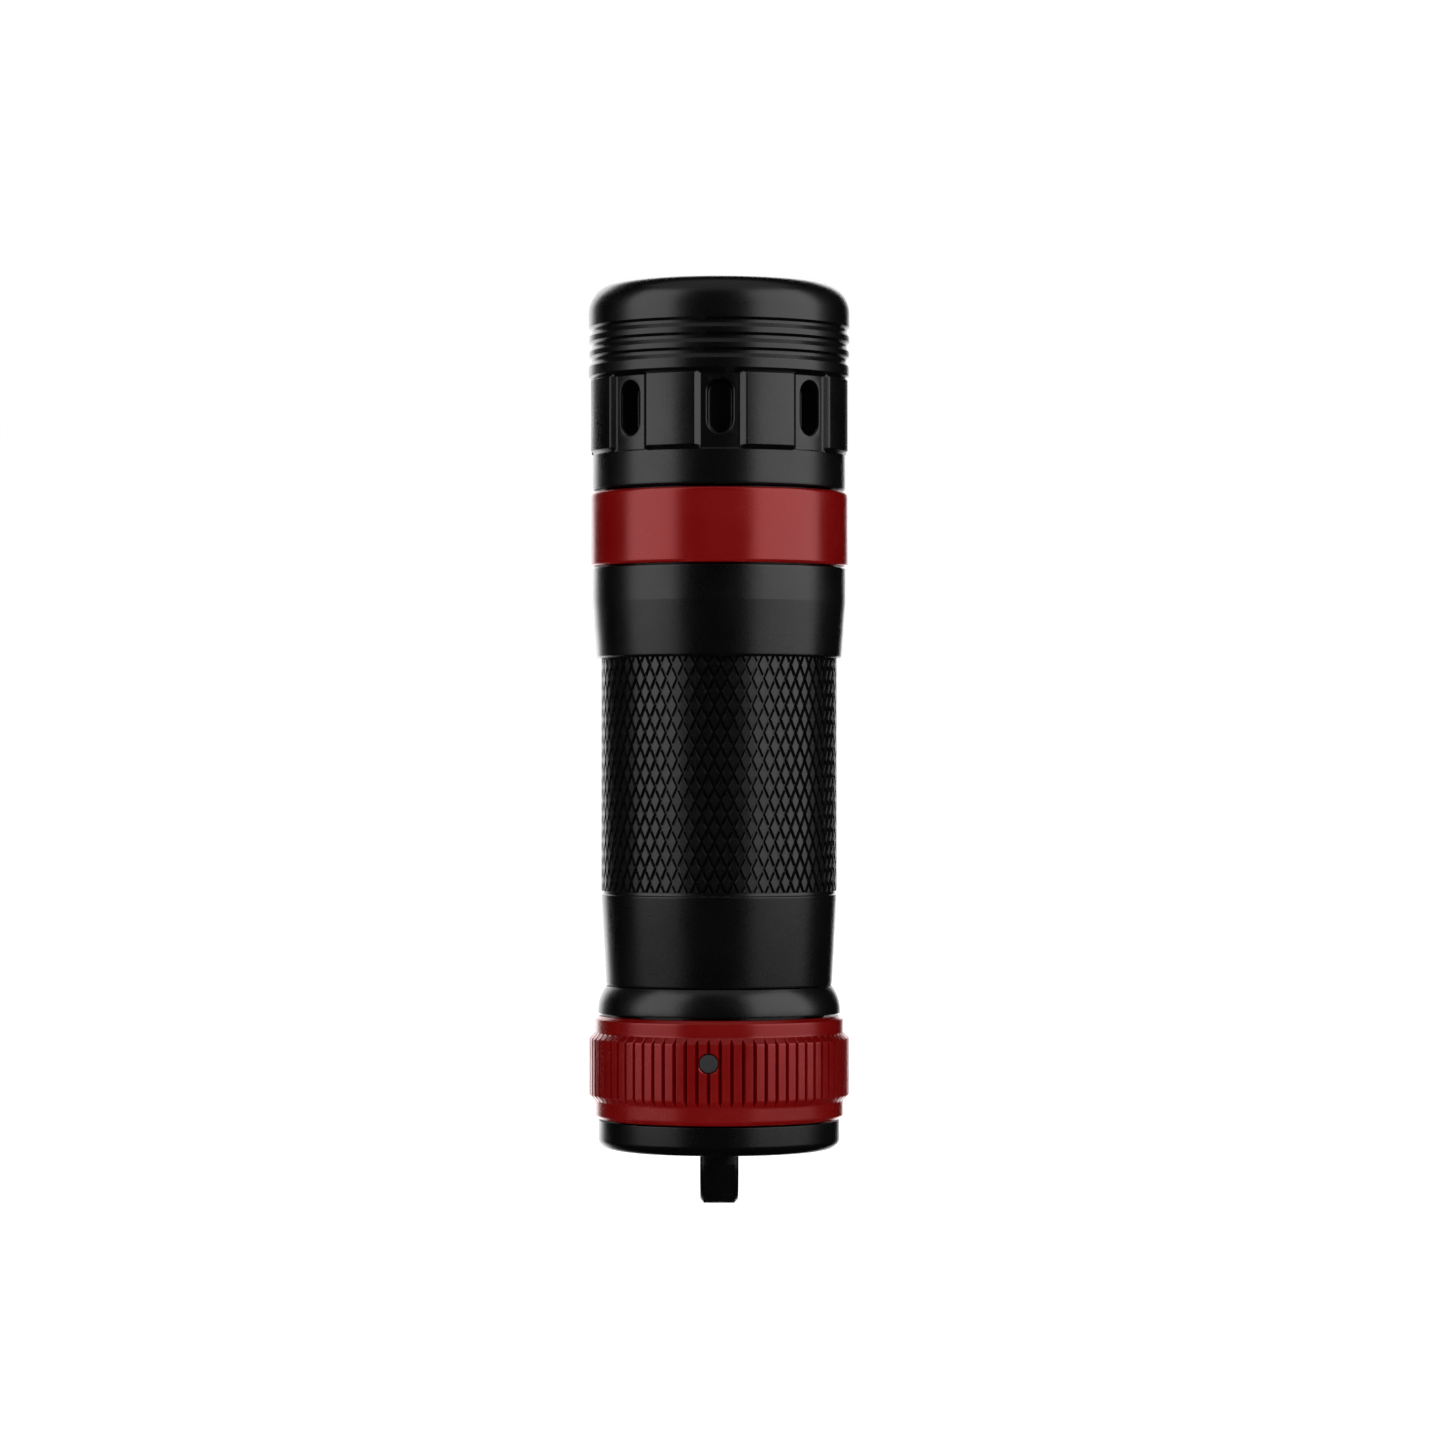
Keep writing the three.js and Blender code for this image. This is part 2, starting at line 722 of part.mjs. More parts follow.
function tailCap() {
  const { grooveFloor, grooveHeight, spigotRadius } = CAP;
  const { wide, tall } = CAP.rounding;
  const body = turned(
    [
      [0, CAP.rear],
      ...arc(CAP.radius - wide, CAP.rear + tall, wide, -90, 0, 5, tall),
      [CAP.radius, CAP.front],
      [spigotRadius, CAP.front],
      [spigotRadius, grooveHeight - SEAL.grooveHalfWidth],
      [grooveFloor, grooveHeight - SEAL.grooveHalfWidth],
      [grooveFloor, grooveHeight + SEAL.grooveHalfWidth],
      [spigotRadius, grooveHeight + SEAL.grooveHalfWidth],
      [spigotRadius, CAP.spigotEnd],
      [CAP.wellRadius, CAP.spigotEnd],
      [CAP.wellRadius, CAP.wellFloor],
      [0, CAP.wellFloor],
    ],
    OUTER_SEGMENTS,
  );
  const hole = new THREE.CylinderGeometry(LUG.holeRadius, LUG.holeRadius, 2 * LUG.thickness, SMALL_SEGMENTS)
    .rotateZ(Math.PI / 2)
    .translate(0, 0, LUG.holeHeight);
  return cut(join([body, lugBlank()]), [hole]);
}

// The key-ring lug: a plate across X with a round end and chamfered edges, rooted in the cap.
function lugBlank() {
  const end = LUG.width / 2;
  const root = CAP.rear + 1;
  const outline = new THREE.Shape();
  outline.moveTo(end, root);
  outline.lineTo(-end, root);
  outline.absarc(0, end, end, Math.PI, 2 * Math.PI);
  const options = {
    depth: LUG.thickness - 2 * LUG.chamfer,
    bevelEnabled: true,
    bevelThickness: LUG.chamfer,
    bevelSize: LUG.chamfer,
    bevelOffset: -LUG.chamfer,
    bevelSegments: 1,
    curveSegments: 10,
  };
  return new THREE.ExtrudeGeometry(outline, options)
    .translate(0, 0, LUG.chamfer - LUG.thickness / 2)
    .rotateX(Math.PI / 2)
    .rotateZ(Math.PI / 2);
}

function switchRing() {
  const { rear, front, bore, endRadius, bandRadius, gripRadius } = SWITCH_RING;
  const { gripRear, gripFront, chamfer } = SWITCH_RING;
  const endChamfer = bandRadius - endRadius;
  const boreChamfer = 0.2;
  const body = turned(
    [
      [bore, rear + boreChamfer],
      [bore + boreChamfer, rear],
      [endRadius, rear],
      [bandRadius, rear + endChamfer],
      [bandRadius, gripRear - chamfer],
      [gripRadius, gripRear],
      [gripRadius, gripFront],
      [bandRadius, gripFront + chamfer],
      [bandRadius, front - endChamfer],
      [endRadius, front],
      [bore + boreChamfer, front],
      [bore, front - boreChamfer],
    ],
    OUTER_SEGMENTS,
  );
  const pinHole = radialCylinder(PIN.hole, bore - 1, gripRadius + 1, PIN.angle, PIN.height);
  return cut(body, [pinHole]);
}

function indexPin() {
  return radialCylinder(PIN.radius, PIN.inner, PIN.outer, PIN.angle, PIN.height);
}

// ---- switch plunger -----------------------------------------------------------------------------

// The pin rides in a helical groove, so turning the ring lifts the plunger; a keyway stops it turning.
function plunger() {
  const body = ring(PLUNGER.bore, PLUNGER.radius, PLUNGER.rear, PLUNGER.front);
  const rise = PLUNGER.travel / SWITCH_RING.turn;
  const overrun = PLUNGER.grooveOverrun;
  const path = new Helix(
    PLUNGER.groovePath,
    PIN.height + rise * overrun,
    PIN.height - PLUNGER.travel - rise * overrun,
    PIN.angle - overrun,
    PIN.angle + SWITCH_RING.turn + overrun,
  );
  const groove = swept(path, PLUNGER.grooveRadius, 12, 12);
  const depth = 2;
  const keyway = block(PLUNGER.keywayWidth, depth, PLUNGER.rear - 1, PLUNGER.front + 1);
  keyway.translate(0, PLUNGER.keywayInner + depth / 2, 0);
  return cut(body, [groove, keyway]);
}

function contactRod() {
  return turned(
    [
      [0, ROD.flangeRear],
      [ROD.flangeRadius, ROD.flangeRear],
      [ROD.flangeRadius, ROD.flangeFront],
      [ROD.radius, ROD.flangeFront],
      [ROD.radius, BUTTON.rear - FIT],
      [ROD.tipRadius, BUTTON.rear - FIT],
      [ROD.tipRadius, BUTTON.socketEnd - FIT],
      [0, BUTTON.socketEnd - FIT],
    ],
    SMALL_SEGMENTS,
  );
}

function contactButton() {
  const rounding = 0.4;
  return turned(
    [
      [ROD.tipRadius + FIT, BUTTON.rear],
      [BUTTON.radius, BUTTON.rear],
      ...arc(BUTTON.radius - rounding, BUTTON.front - rounding, rounding, 0, 90, 2),
      [0, BUTTON.front],
      [0, BUTTON.socketEnd],
      [ROD.tipRadius + FIT, BUTTON.socketEnd],
    ],
    SMALL_SEGMENTS,
  );
}

// ---- assembly -----------------------------------------------------------------------------------

function assembly(name, pieces) {
  const group = new THREE.Group();
  group.name = name;
  for (const [pieceName, geometry, material] of pieces) {
    const mesh = new THREE.Mesh(geometry, material);
    mesh.name = pieceName;
    group.add(mesh);
  }
  return group;
}

const M = MATERIALS;

const head = assembly("head", [
  ["head_housing", headHousing(), M.blackAnodised],
  ["bezel_ring", bezelRing(), M.blackAnodised],
  ["lens_o_ring", oRing(LENS_SEAL.centre, LENS_SEAL.section, LENS_SEAL.height), M.rubber],
  ["lens", lens(), M.glass],
  ["reflector", reflector(), M.mirror],
  ["led_centring_ring", centringRing(), M.plastic],
  ["led_dome", ledDome(), M.glass],
  ["led_package", block(LED.side, LED.side, LED.rear, LED.rear + LED.thickness), M.phosphor],
  ["led_board", ledBoard(), M.whiteBoard],
  ["led_lead_positive", ledLead(-1), M.redWire],
  ["led_lead_negative", ledLead(1), M.blackWire],
  ["heat_sink_core", heatSinkCore(), M.brass],
  ["driver_board", ring(0, DRIVER.radius, DRIVER.rear, DRIVER.rear + DRIVER.thickness), M.board],
  ["driver_inductor", inductor(), M.electrode],
  ["driver_chip", driverChip(), M.darkPlastic],
  ["driver_retaining_ring", driverRing(), M.brass],
  ["positive_contact_spring", coilSpring(FRONT_SPRING), M.steel],
]);

const body = assembly("body", [
  ["body_tube", bodyTube(), M.blackAnodised],
  ["head_o_ring", oRing(HEAD_SEAL.centre, SEAL.section, HEAD_SEAL.height), M.rubber],
  ["trim_ring", trimRing(), M.redAnodised],
]);

const cell = assembly("cell", [
  ["cell_can", cellCan(), M.steel],
  ["cell_wrap", cellWrap(), M.wrap],
  ["cell_electrode_roll", cellRoll(), M.electrode],
  ["cell_gasket", cellGasket(), M.plastic],
  ["cell_positive_cap", cellPositiveCap(), M.steel],
]);

const tail = assembly("tail", [
  ["tail_housing", tailHousing(), M.blackAnodised],
  ["tail_o_ring", oRing(TAIL_SEAL.centre, SEAL.section, TAIL_SEAL.height), M.rubber],
  ["rear_ring_seal", oRing(RING_SEAL.centre, SEAL.section, RING_SEAL.heights[0]), M.rubber],
  ["front_ring_seal", oRing(RING_SEAL.centre, SEAL.section, RING_SEAL.heights[1]), M.rubber],
  ["cell_seat_ring", ring(SEAT_RING.inner, SEAT_RING.outer, SEAT_RING.rear, SEAT_RING.front), M.plastic],
  ["tail_cap", tailCap(), M.blackAnodised],
  ["tail_cap_o_ring", oRing(CAP_SEAL.centre, SEAL.section, CAP.grooveHeight), M.rubber],
  ["tail_contact_spring", coilSpring(TAIL_SPRING), M.steel],
]);

const selector = assembly("selector", [
  ["switch_ring", switchRing(), M.redAnodised],
  ["index_pin", indexPin(), M.pinSteel],
]);

const contact = assembly("contact", [
  ["switch_plunger", plunger(), M.darkPlastic],
  ["contact_rod", contactRod(), M.brass],
  ["contact_button", contactButton(), M.brass],
]);

const flashlight = new THREE.Group();
flashlight.name = "keychain_flashlight";
flashlight.add(head, body, cell, tail, selector, contact);

export default flashlight;
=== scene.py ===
import json
import math

import bmesh
import bpy
from mathutils import Matrix, Vector

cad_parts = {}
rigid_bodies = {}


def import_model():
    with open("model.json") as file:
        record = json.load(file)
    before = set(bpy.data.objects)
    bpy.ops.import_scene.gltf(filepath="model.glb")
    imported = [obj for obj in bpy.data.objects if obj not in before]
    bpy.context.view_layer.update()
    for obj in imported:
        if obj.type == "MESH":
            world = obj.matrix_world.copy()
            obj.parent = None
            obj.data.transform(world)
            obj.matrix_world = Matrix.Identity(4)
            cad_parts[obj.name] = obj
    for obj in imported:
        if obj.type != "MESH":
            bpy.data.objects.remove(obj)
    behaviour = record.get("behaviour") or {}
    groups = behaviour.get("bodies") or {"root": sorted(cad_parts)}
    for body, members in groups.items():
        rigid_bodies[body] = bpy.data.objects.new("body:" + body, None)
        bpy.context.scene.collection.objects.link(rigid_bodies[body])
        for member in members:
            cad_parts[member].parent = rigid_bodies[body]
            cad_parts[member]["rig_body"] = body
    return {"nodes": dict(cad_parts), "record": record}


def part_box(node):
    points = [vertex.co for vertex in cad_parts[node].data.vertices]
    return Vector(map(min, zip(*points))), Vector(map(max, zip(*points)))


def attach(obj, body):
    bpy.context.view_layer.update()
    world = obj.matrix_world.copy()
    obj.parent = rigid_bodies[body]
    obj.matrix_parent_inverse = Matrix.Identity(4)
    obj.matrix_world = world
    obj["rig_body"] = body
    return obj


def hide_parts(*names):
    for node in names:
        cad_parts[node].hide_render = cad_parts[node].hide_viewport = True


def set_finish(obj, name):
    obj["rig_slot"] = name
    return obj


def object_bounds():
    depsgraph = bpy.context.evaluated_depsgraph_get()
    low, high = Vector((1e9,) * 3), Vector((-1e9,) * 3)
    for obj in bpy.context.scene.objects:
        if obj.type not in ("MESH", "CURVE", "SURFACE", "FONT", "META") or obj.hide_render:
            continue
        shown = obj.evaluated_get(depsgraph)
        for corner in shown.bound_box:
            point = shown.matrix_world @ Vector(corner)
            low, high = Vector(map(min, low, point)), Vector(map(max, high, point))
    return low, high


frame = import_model()
cad_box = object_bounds()

# Lengths in this script are millimetres until a mesh is made.
MM = 0.001
TURN = 2 * math.pi
FRONT = -TURN / 4  # the angle of -Y, which faces the camera
SEGMENTS = 192  # facets round a turned piece


# ---- places taken from the frame ----


def rear(node):
    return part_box(node)[0].z / MM


def front(node):
    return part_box(node)[1].z / MM


def radius(node):
    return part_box(node)[1].x / MM


SLOTS = {part["node"]: part["material_slot"] for part in frame["record"]["subparts"]}

HEAD_REAR, HEAD_FRONT, HEAD_RADIUS = rear("head_housing"), front("head_housing"), radius("head_housing")
TUBE_REAR, TUBE_FRONT, TUBE_RADIUS = rear("body_tube"), front("body_tube"), radius("body_tube")
TRIM_REAR, TRIM_FRONT, TRIM_RADIUS = rear("trim_ring"), front("trim_ring"), radius("trim_ring")
RING_REAR, RING_FRONT, RING_RADIUS = rear("switch_ring"), front("switch_ring"), radius("switch_ring")
CAP_RADIUS, CAP_SPIGOT_END = radius("tail_cap"), front("tail_cap")
TAIL_REAR, TAIL_FRONT, TAIL_RADIUS = rear("tail_housing"), front("tail_housing"), radius("tail_housing")


# ---- mesh building ----


def rounded(corners, default=0.06, steps=3, closed=True):
    """An outline of (radius, height) points with each corner rounded by its third number, or by default."""
    count = len(corners)
    places = [Vector(corner[:2]) for corner in corners]
    reaches = []
    for i, corner in enumerate(corners):
        back, ahead = places[i - 1] - places[i], places[(i + 1) % count] - places[i]
        half = back.angle(ahead) / 2
        size = corner[2] if len(corner) > 2 else default
        sharp = half > 0.49 * math.pi or (not closed and i in (0, count - 1))
        reaches.append(0 if sharp else size / math.tan(half))
    points = []
    for i, here in enumerate(places):
        reach = reaches[i]
        for other in (i - 1, (i + 1) % count):
            room = 0.96 * (places[other] - here).length
            if reach and reaches[i] + reaches[other] > room:
                reach = min(reach, room * reaches[i] / (reaches[i] + reaches[other]))
        if reach == 0:
            points.append(tuple(here))
            continue
        back, ahead = (places[i - 1] - here).normalized(), (places[(i + 1) % count] - here).normalized()
        half = back.angle(ahead) / 2
        bend = reach * math.tan(half)
        centre = here + (back + ahead).normalized() * (bend / math.sin(half))
        spoke = here + back * reach - centre
        sweep = math.pi - 2 * half
        side = -1 if back.x * ahead.y - back.y * ahead.x > 0 else 1
        parts = max(steps, round(8 * bend * sweep))
        for k in range(parts + 1):
            angle = side * sweep * k / parts
            points.append(
                (
                    centre.x + spoke.x * math.cos(angle) - spoke.y * math.sin(angle),
                    centre.y + spoke.x * math.sin(angle) + spoke.y * math.cos(angle),
                )
            )
    return points


def arc(centre, height, wide, tall, start, end, count=12):
    """Outline points along a round or elliptical arc, angles in degrees from the radial direction."""
    angles = [math.radians(start + (end - start) * k / count) for k in range(count + 1)]
    return [(centre + wide * math.cos(a), height + tall * math.sin(a), 0) for a in angles]


def supported(outline, margin=0.15, longest=2.5, whole=None):
    """The outline with more points on its long straight runs, so that the lighter edges, partly wear and
    partly painted highlight, stay near the edges.

    A run whose ends are both at the radius whole is left as it is.
    """
    points = []
    for i, start in enumerate(outline):
        points.append(start)
        end = outline[(i + 1) % len(outline)]
        length = math.dist(start, end)
        untouched = whole is not None and max(abs(start[0] - whole), abs(end[0] - whole)) < 1e-6
        if length > 3 * margin and not untouched:
            between = max(1, math.ceil((length - 2 * margin) / longest))
            steps = [margin + (length - 2 * margin) * k / between for k in range(between + 1)]
            points += [tuple(a + (b - a) * step / length for a, b in zip(start, end)) for step in steps]
    return points


def at(angle, distance, height):
    return (distance * math.cos(angle), distance * math.sin(angle), height)


def loft(rings, closed=True, skip=None):
    """Vertices and faces through rings of equally many points. closed joins the last ring to the first."""
    width = len(rings[0])
    vertices = [point for ring in rings for point in ring]
    faces = []
    for i in range(len(rings) if closed else len(rings) - 1):
        below, above = i * width, (i + 1) % len(rings) * width
        for k in range(width):
            if skip is None or not skip(i, k):
                ahead = (k + 1) % width
                faces.append((below + k, below + ahead, above + ahead, above + k))
    return vertices, faces


def lathe(outline, segments=SEGMENTS):
    """A turned shape. The outline is counter-clockwise, and starts and ends on the axis or is a ring."""
    closed = outline[0][0] > 0
    angles = [FRONT + TURN * k / segments for k in range(segments)]
    if closed:
        outline = supported(outline)
    rings = [[at(angle, distance, height) for angle in angles] for distance, height in outline]
    return loft(rings, closed=closed)


def block(x0, x1, y0, y1, z0, z1):
    """A box between two corners, for cutting and joining."""
    vertices = [(x, y, z) for z in (z0, z1) for x, y in ((x0, y0), (x1, y0), (x1, y1), (x0, y1))]
    faces = [(3, 2, 1, 0), (4, 5, 6, 7), (0, 1, 5, 4), (1, 2, 6, 5), (2, 3, 7, 6), (3, 0, 4, 7)]
    return vertices, faces


def rod(outline, angle, height, segments=64):
    """A turned shape whose axis points out from the Z axis at that angle; outline heights are distances."""
    vertices, faces = lathe(outline, segments)
    turn = Matrix.Rotation(angle, 4, "Z") @ Matrix.Rotation(TURN / 4, 4, "Y")
    move = Matrix.Translation((0, 0, height)) @ turn
    return [tuple(move @ Vector(v)) for v in vertices], faces


def mesh_of(name, shape):
    vertices, faces = shape
    mesh = bpy.data.meshes.new(name)
    mesh.from_pydata([tuple(c * MM for c in v) for v in vertices], [], faces)
    tidy = bmesh.new()
    tidy.from_mesh(mesh)
    bmesh.ops.remove_doubles(tidy, verts=tidy.verts, dist=1e-7)
    bmesh.ops.dissolve_degenerate(tidy, edges=tidy.edges, dist=1e-8)
    bmesh.ops.recalc_face_normals(tidy, faces=tidy.faces)
    tidy.to_mesh(mesh)
    tidy.free()
    return mesh


def cut_with(piece, shapes, operation="DIFFERENCE"):
    """Cuts shapes from the piece, or joins them to it, and leaves the result as its mesh."""
    for shape in shapes:
        tool = bpy.data.objects.new("tool", mesh_of("tool", shape))
        bpy.context.scene.collection.objects.link(tool)
        change = piece.modifiers.new("cut", "BOOLEAN")
        change.operation = operation
        change.solver = "EXACT"
        change.object = tool
        graph = bpy.context.evaluated_depsgraph_get()
        result = bpy.data.meshes.new_from_object(piece.evaluated_get(graph))
        piece.modifiers.clear()
        piece.data = result
        bpy.data.objects.remove(tool)


def make(name, shape, node, sharp=40):
    """A piece that stands for a CAD node, rides on its body and takes its material slot."""
    piece = bpy.data.objects.new(name, mesh_of(name, shape))
    bpy.context.scene.collection.objects.link(piece)
    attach(piece, frame["nodes"][node]["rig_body"])
    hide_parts(node)
    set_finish(piece, SLOTS[node])
    piece["sharp"] = sharp
    return piece


def turned(name, node, corners, closed=True, steps=3, segments=SEGMENTS, sharp=40):
    """A turned piece with rounded corners that stands for a CAD node."""
    return make(name, lathe(rounded(corners, steps=steps, closed=closed), segments), node, sharp)


def shade(piece, material):
    """Smooth shading that keeps flat faces flat, and the material."""
    mesh = piece.data
    mesh.materials.clear()
    mesh.materials.append(material)
    mesh.shade_smooth()
    mesh.set_sharp_from_angle(angle=math.radians(piece["sharp"]))
    weighted = piece.modifiers.new("weighted_normals", "WEIGHTED_NORMAL")
    weighted.keep_sharp = True


# ---- head ----

PADS = 8
BAND_RADIUS = 12.3
BAND_FRONT = 72.68
RECESS_RADIUS = 12.2
PAD_RADIUS = 12.69
PAD_TOP_HALF = math.radians(11.25)
PAD_FOOT_HALF = math.radians(13.7)
PAD_REAR, PAD_FRONT = 73.08, 79.92
RIB_REAR = 80.38
RIB_GROOVES = ((81.32, 82.29), (82.76, 83.72), (84.24, 85.18))
GROOVE_RADIUS = 12.43
GROOVE_REAR_SLOPE, GROOVE_FRONT_SLOPE = 0.42, 0.25
RIM_WIDE, RIM_TALL = 2.6, 2.8
LENS_SEAT = front("reflector") - 1
HEAD_BORE = 9.2
HEAD_FRONT_BORE = 9.8
HEAD_THREAD_BORE = 11.0
HEAD_THREAD_END = 74.2

POCKET_HALF_WIDTH = 1.2
POCKET_HALF_HEIGHT = 2.55
POCKET_CENTRE = 76.78
POCKET_FLOOR = 9.9
POCKET_RIM = 0.16
PATCH_HALF_ANGLE = math.radians(7.0)
PATCH_HALF_HEIGHT = 2.84
PATCH_COLUMNS = 10
PATCH_ROWS = 22


def blurred(corners, where, blur):
    """The height of a broken line at a place, with its corners rounded over a distance of blur each way."""
    total = 0
    taps = 9
    for tap in range(taps):
        place = where + blur * (2 * tap / (taps - 1) - 1)
        value = corners[0][1] if place < corners[0][0] else corners[-1][1]
        for (a, low), (b, high) in zip(corners, corners[1:]):
            if a <= place <= b:
                value = low + (high - low) * (place - a) / (b - a)
        total += value
    return total / taps


def head_columns():
    """Each column's angle in its sector, and how much of the pad it carries."""
    half = TURN / PADS / 2
    foot, top = half - PAD_FOOT_HALF, half - PAD_TOP_HALF
    soft = math.radians(0.25)
    ramp = ((0, 0), (foot, 0), (top, 1), (half, 1))
    outer = [(PATCH_HALF_ANGLE + foot - soft) / 2, foot - soft, foot, foot + soft]
    outer += [foot + (top - foot) * f for f in (0.3, 0.5, 0.7)] + [top - soft, top, top + soft]
    outer += [top + math.radians(a) for a in (0.6, 1.1, 1.8, 2.8, 4, 5.2, 6.4, 7.6, 8.8, 10)]
    inner = [PATCH_HALF_ANGLE * (2 * k / PATCH_COLUMNS - 1) for k in range(PATCH_COLUMNS + 1)]
    local = [-a for a in reversed(outer)] + inner + outer + [half]
    return [(a, blurred(ramp, abs(a), soft)) for a in local]


def head_rows():
    """Heights with the recess radius and the pad radius, from the band up to the first rib."""
    soft = 0.035
    notch = 0.245
    recess = ((72, BAND_RADIUS), (BAND_FRONT, BAND_RADIUS), (BAND_FRONT + 0.1, RECESS_RADIUS))
    recess += ((PAD_FRONT, RECESS_RADIUS), (RIB_REAR, HEAD_RADIUS), (81, HEAD_RADIUS))
    pad = ((72, BAND_RADIUS), (BAND_FRONT, BAND_RADIUS), (PAD_REAR, PAD_RADIUS), (PAD_FRONT, PAD_RADIUS))
    pad += ((PAD_FRONT + 0.19, PAD_RADIUS - notch), (RIB_REAR, HEAD_RADIUS), (81, HEAD_RADIUS))
    patch = [POCKET_CENTRE + PATCH_HALF_HEIGHT * (2 * k / PATCH_ROWS - 1) for k in range(PATCH_ROWS + 1)]
    below = [BAND_FRONT + d for d in (-0.08, -0.04, 0, 0.04, 0.1, 0.15)]
    below += [PAD_REAR + d for d in (-0.15, -0.04, 0, 0.04, 0.12, 0.4)]
    above = [PAD_FRONT + d for d in (-0.2, -0.08, -0.04, 0, 0.04, 0.1, 0.15, 0.19, 0.23)]
    above += [RIB_REAR + d for d in (-0.1, -0.04, 0, 0.04, 0.1)]
    heights = below + patch + above
    return [(z, blurred(recess, z, soft), blurred(pad, z, soft)) for z in heights], len(below)


def pocket_ring(edge, size, distance):
    """The pill outline at that size, opposite each point of the patch's edge."""
    ring = []
    straight = POCKET_HALF_HEIGHT - POCKET_HALF_WIDTH
    for across, up in edge:
        middle = max(-straight, min(straight, up))
        way = Vector((across, up - middle)).normalized()
        x = size * way.x
        ring.append((x, middle + size * way.y, distance(x)))
    return ring


def head_shape():
    lower = rounded(
        [
            (HEAD_THREAD_BORE, HEAD_THREAD_END),
            (HEAD_THREAD_BORE, HEAD_REAR),
            (BAND_RADIUS, HEAD_REAR, 0.15),
            (BAND_RADIUS, HEAD_REAR + 0.35, 0),
            (BAND_RADIUS, HEAD_REAR + 1.5, 0),
            (BAND_RADIUS, BAND_FRONT - 0.25, 0),
        ],
        closed=False,
    )
    corners = [(HEAD_RADIUS, RIB_REAR + 0.2)]
    for low, high in RIB_GROOVES:
        corners += [
            (HEAD_RADIUS, low - 0.15, 0),
            (HEAD_RADIUS, low, 0.04),
            (GROOVE_RADIUS, low + GROOVE_REAR_SLOPE, 0.04),
            (GROOVE_RADIUS, high - GROOVE_FRONT_SLOPE, 0.02),
            (HEAD_RADIUS, high, 0.02),
            (HEAD_RADIUS, high + 0.15, 0),
        ]
    corners += [
        *arc(HEAD_RADIUS - RIM_WIDE, HEAD_FRONT - RIM_TALL, RIM_WIDE, RIM_TALL, 0, 90, 20),
        (HEAD_FRONT_BORE, HEAD_FRONT, 0.12),
        (HEAD_FRONT_BORE, LENS_SEAT),
        (HEAD_BORE, LENS_SEAT),
        (HEAD_BORE, HEAD_THREAD_END),
        (HEAD_THREAD_BORE, HEAD_THREAD_END),
    ]
    upper = rounded(corners, steps=3, closed=False)[:-1]
    rows, patch_start = head_rows()
    columns = head_columns()
    sector = TURN / PADS
    per_sector = len(columns)
    patch_first = (per_sector - 1 - PATCH_COLUMNS) // 2
    profile = [(z, r, r) for r, z in lower] + rows + [(z, r, r) for r, z in upper]
    patch_row = len(lower) + patch_start
    rings = []
    for z, recess, pad in profile:
        ring = []
        for s in range(PADS):
            for local, share in columns:
                ring.append(at(FRONT + s * sector + local, recess + (pad - recess) * share, z))
        rings.append(ring)

    def in_patch(i, k):
        column = k % per_sector - patch_first
        return patch_row <= i < patch_row + PATCH_ROWS and 0 <= column < PATCH_COLUMNS

    vertices, faces = loft(rings, closed=True, skip=in_patch)
    width = len(rings[0])
    edge = [(0, c) for c in range(PATCH_COLUMNS)]
    edge += [(r, PATCH_COLUMNS) for r in range(PATCH_ROWS)]
    edge += [(PATCH_ROWS, c) for c in range(PATCH_COLUMNS, 0, -1)]
    edge += [(r, 0) for r in range(PATCH_ROWS, 0, -1)]

    def surface(x):
        return math.sqrt(RECESS_RADIUS**2 - x**2)

    for s in range(PADS):
        middle = FRONT + s * sector
        outline = []
        for r, c in edge:
            angle = PATCH_HALF_ANGLE * (2 * c / PATCH_COLUMNS - 1)
            outline.append((RECESS_RADIUS * math.sin(angle), PATCH_HALF_HEIGHT * (2 * r / PATCH_ROWS - 1)))
        previous = [(patch_row + r) * width + s * per_sector + patch_first + c for r, c in edge]
        inner = POCKET_HALF_WIDTH
        spin = Matrix.Rotation(middle, 2)
        loops = (
            (inner + POCKET_RIM + 0.03, surface),
            (inner + POCKET_RIM, lambda x: surface(x) - 0.006),
            (inner + POCKET_RIM - 0.03, lambda x: surface(x) - 0.03),
            (inner + 0.02, lambda x: surface(x) - POCKET_RIM + 0.01),
            (inner, lambda x: surface(x) - POCKET_RIM - 0.03),
            (inner, lambda x: POCKET_FLOOR + 0.3),
            (inner - 0.09, lambda x: POCKET_FLOOR + 0.09),
            (inner - 0.3, lambda x: POCKET_FLOOR),
        )
        for size, distance in loops:
            start = len(vertices)
            for x, z, out in pocket_ring(outline, size, distance):
                point = spin @ Vector((out, x))
                vertices.append((point.x, point.y, POCKET_CENTRE + z))
            here = list(range(start, start + len(edge)))
            for k in range(len(edge)):
                ahead = (k + 1) % len(edge)
                faces.append((previous[k], previous[ahead], here[ahead], here[k]))
            previous = here
        faces.append(tuple(previous))
    return vertices, faces


make("head_shell", head_shape(), "head_housing")

BEZEL_BORE = 8.6
BEZEL_CHAMFER = 0.5
SPANNER_SLOT = 0.7  # half its width
bezel_radius, bezel_rear, bezel_front = radius("bezel_ring"), rear("bezel_ring"), front("bezel_ring")
bezel = turned(
    "bezel",
    "bezel_ring",
    [
        (BEZEL_BORE, bezel_rear),
        (bezel_radius, bezel_rear),
        (bezel_radius, bezel_front),
        (BEZEL_BORE + BEZEL_CHAMFER, bezel_front),
        (BEZEL_BORE, bezel_front - BEZEL_CHAMFER),
    ],
)
cut_with(bezel, [block(-11, 11, -SPANNER_SLOT, SPANNER_SLOT, bezel_front - BEZEL_CHAMFER, bezel_front + 1)])

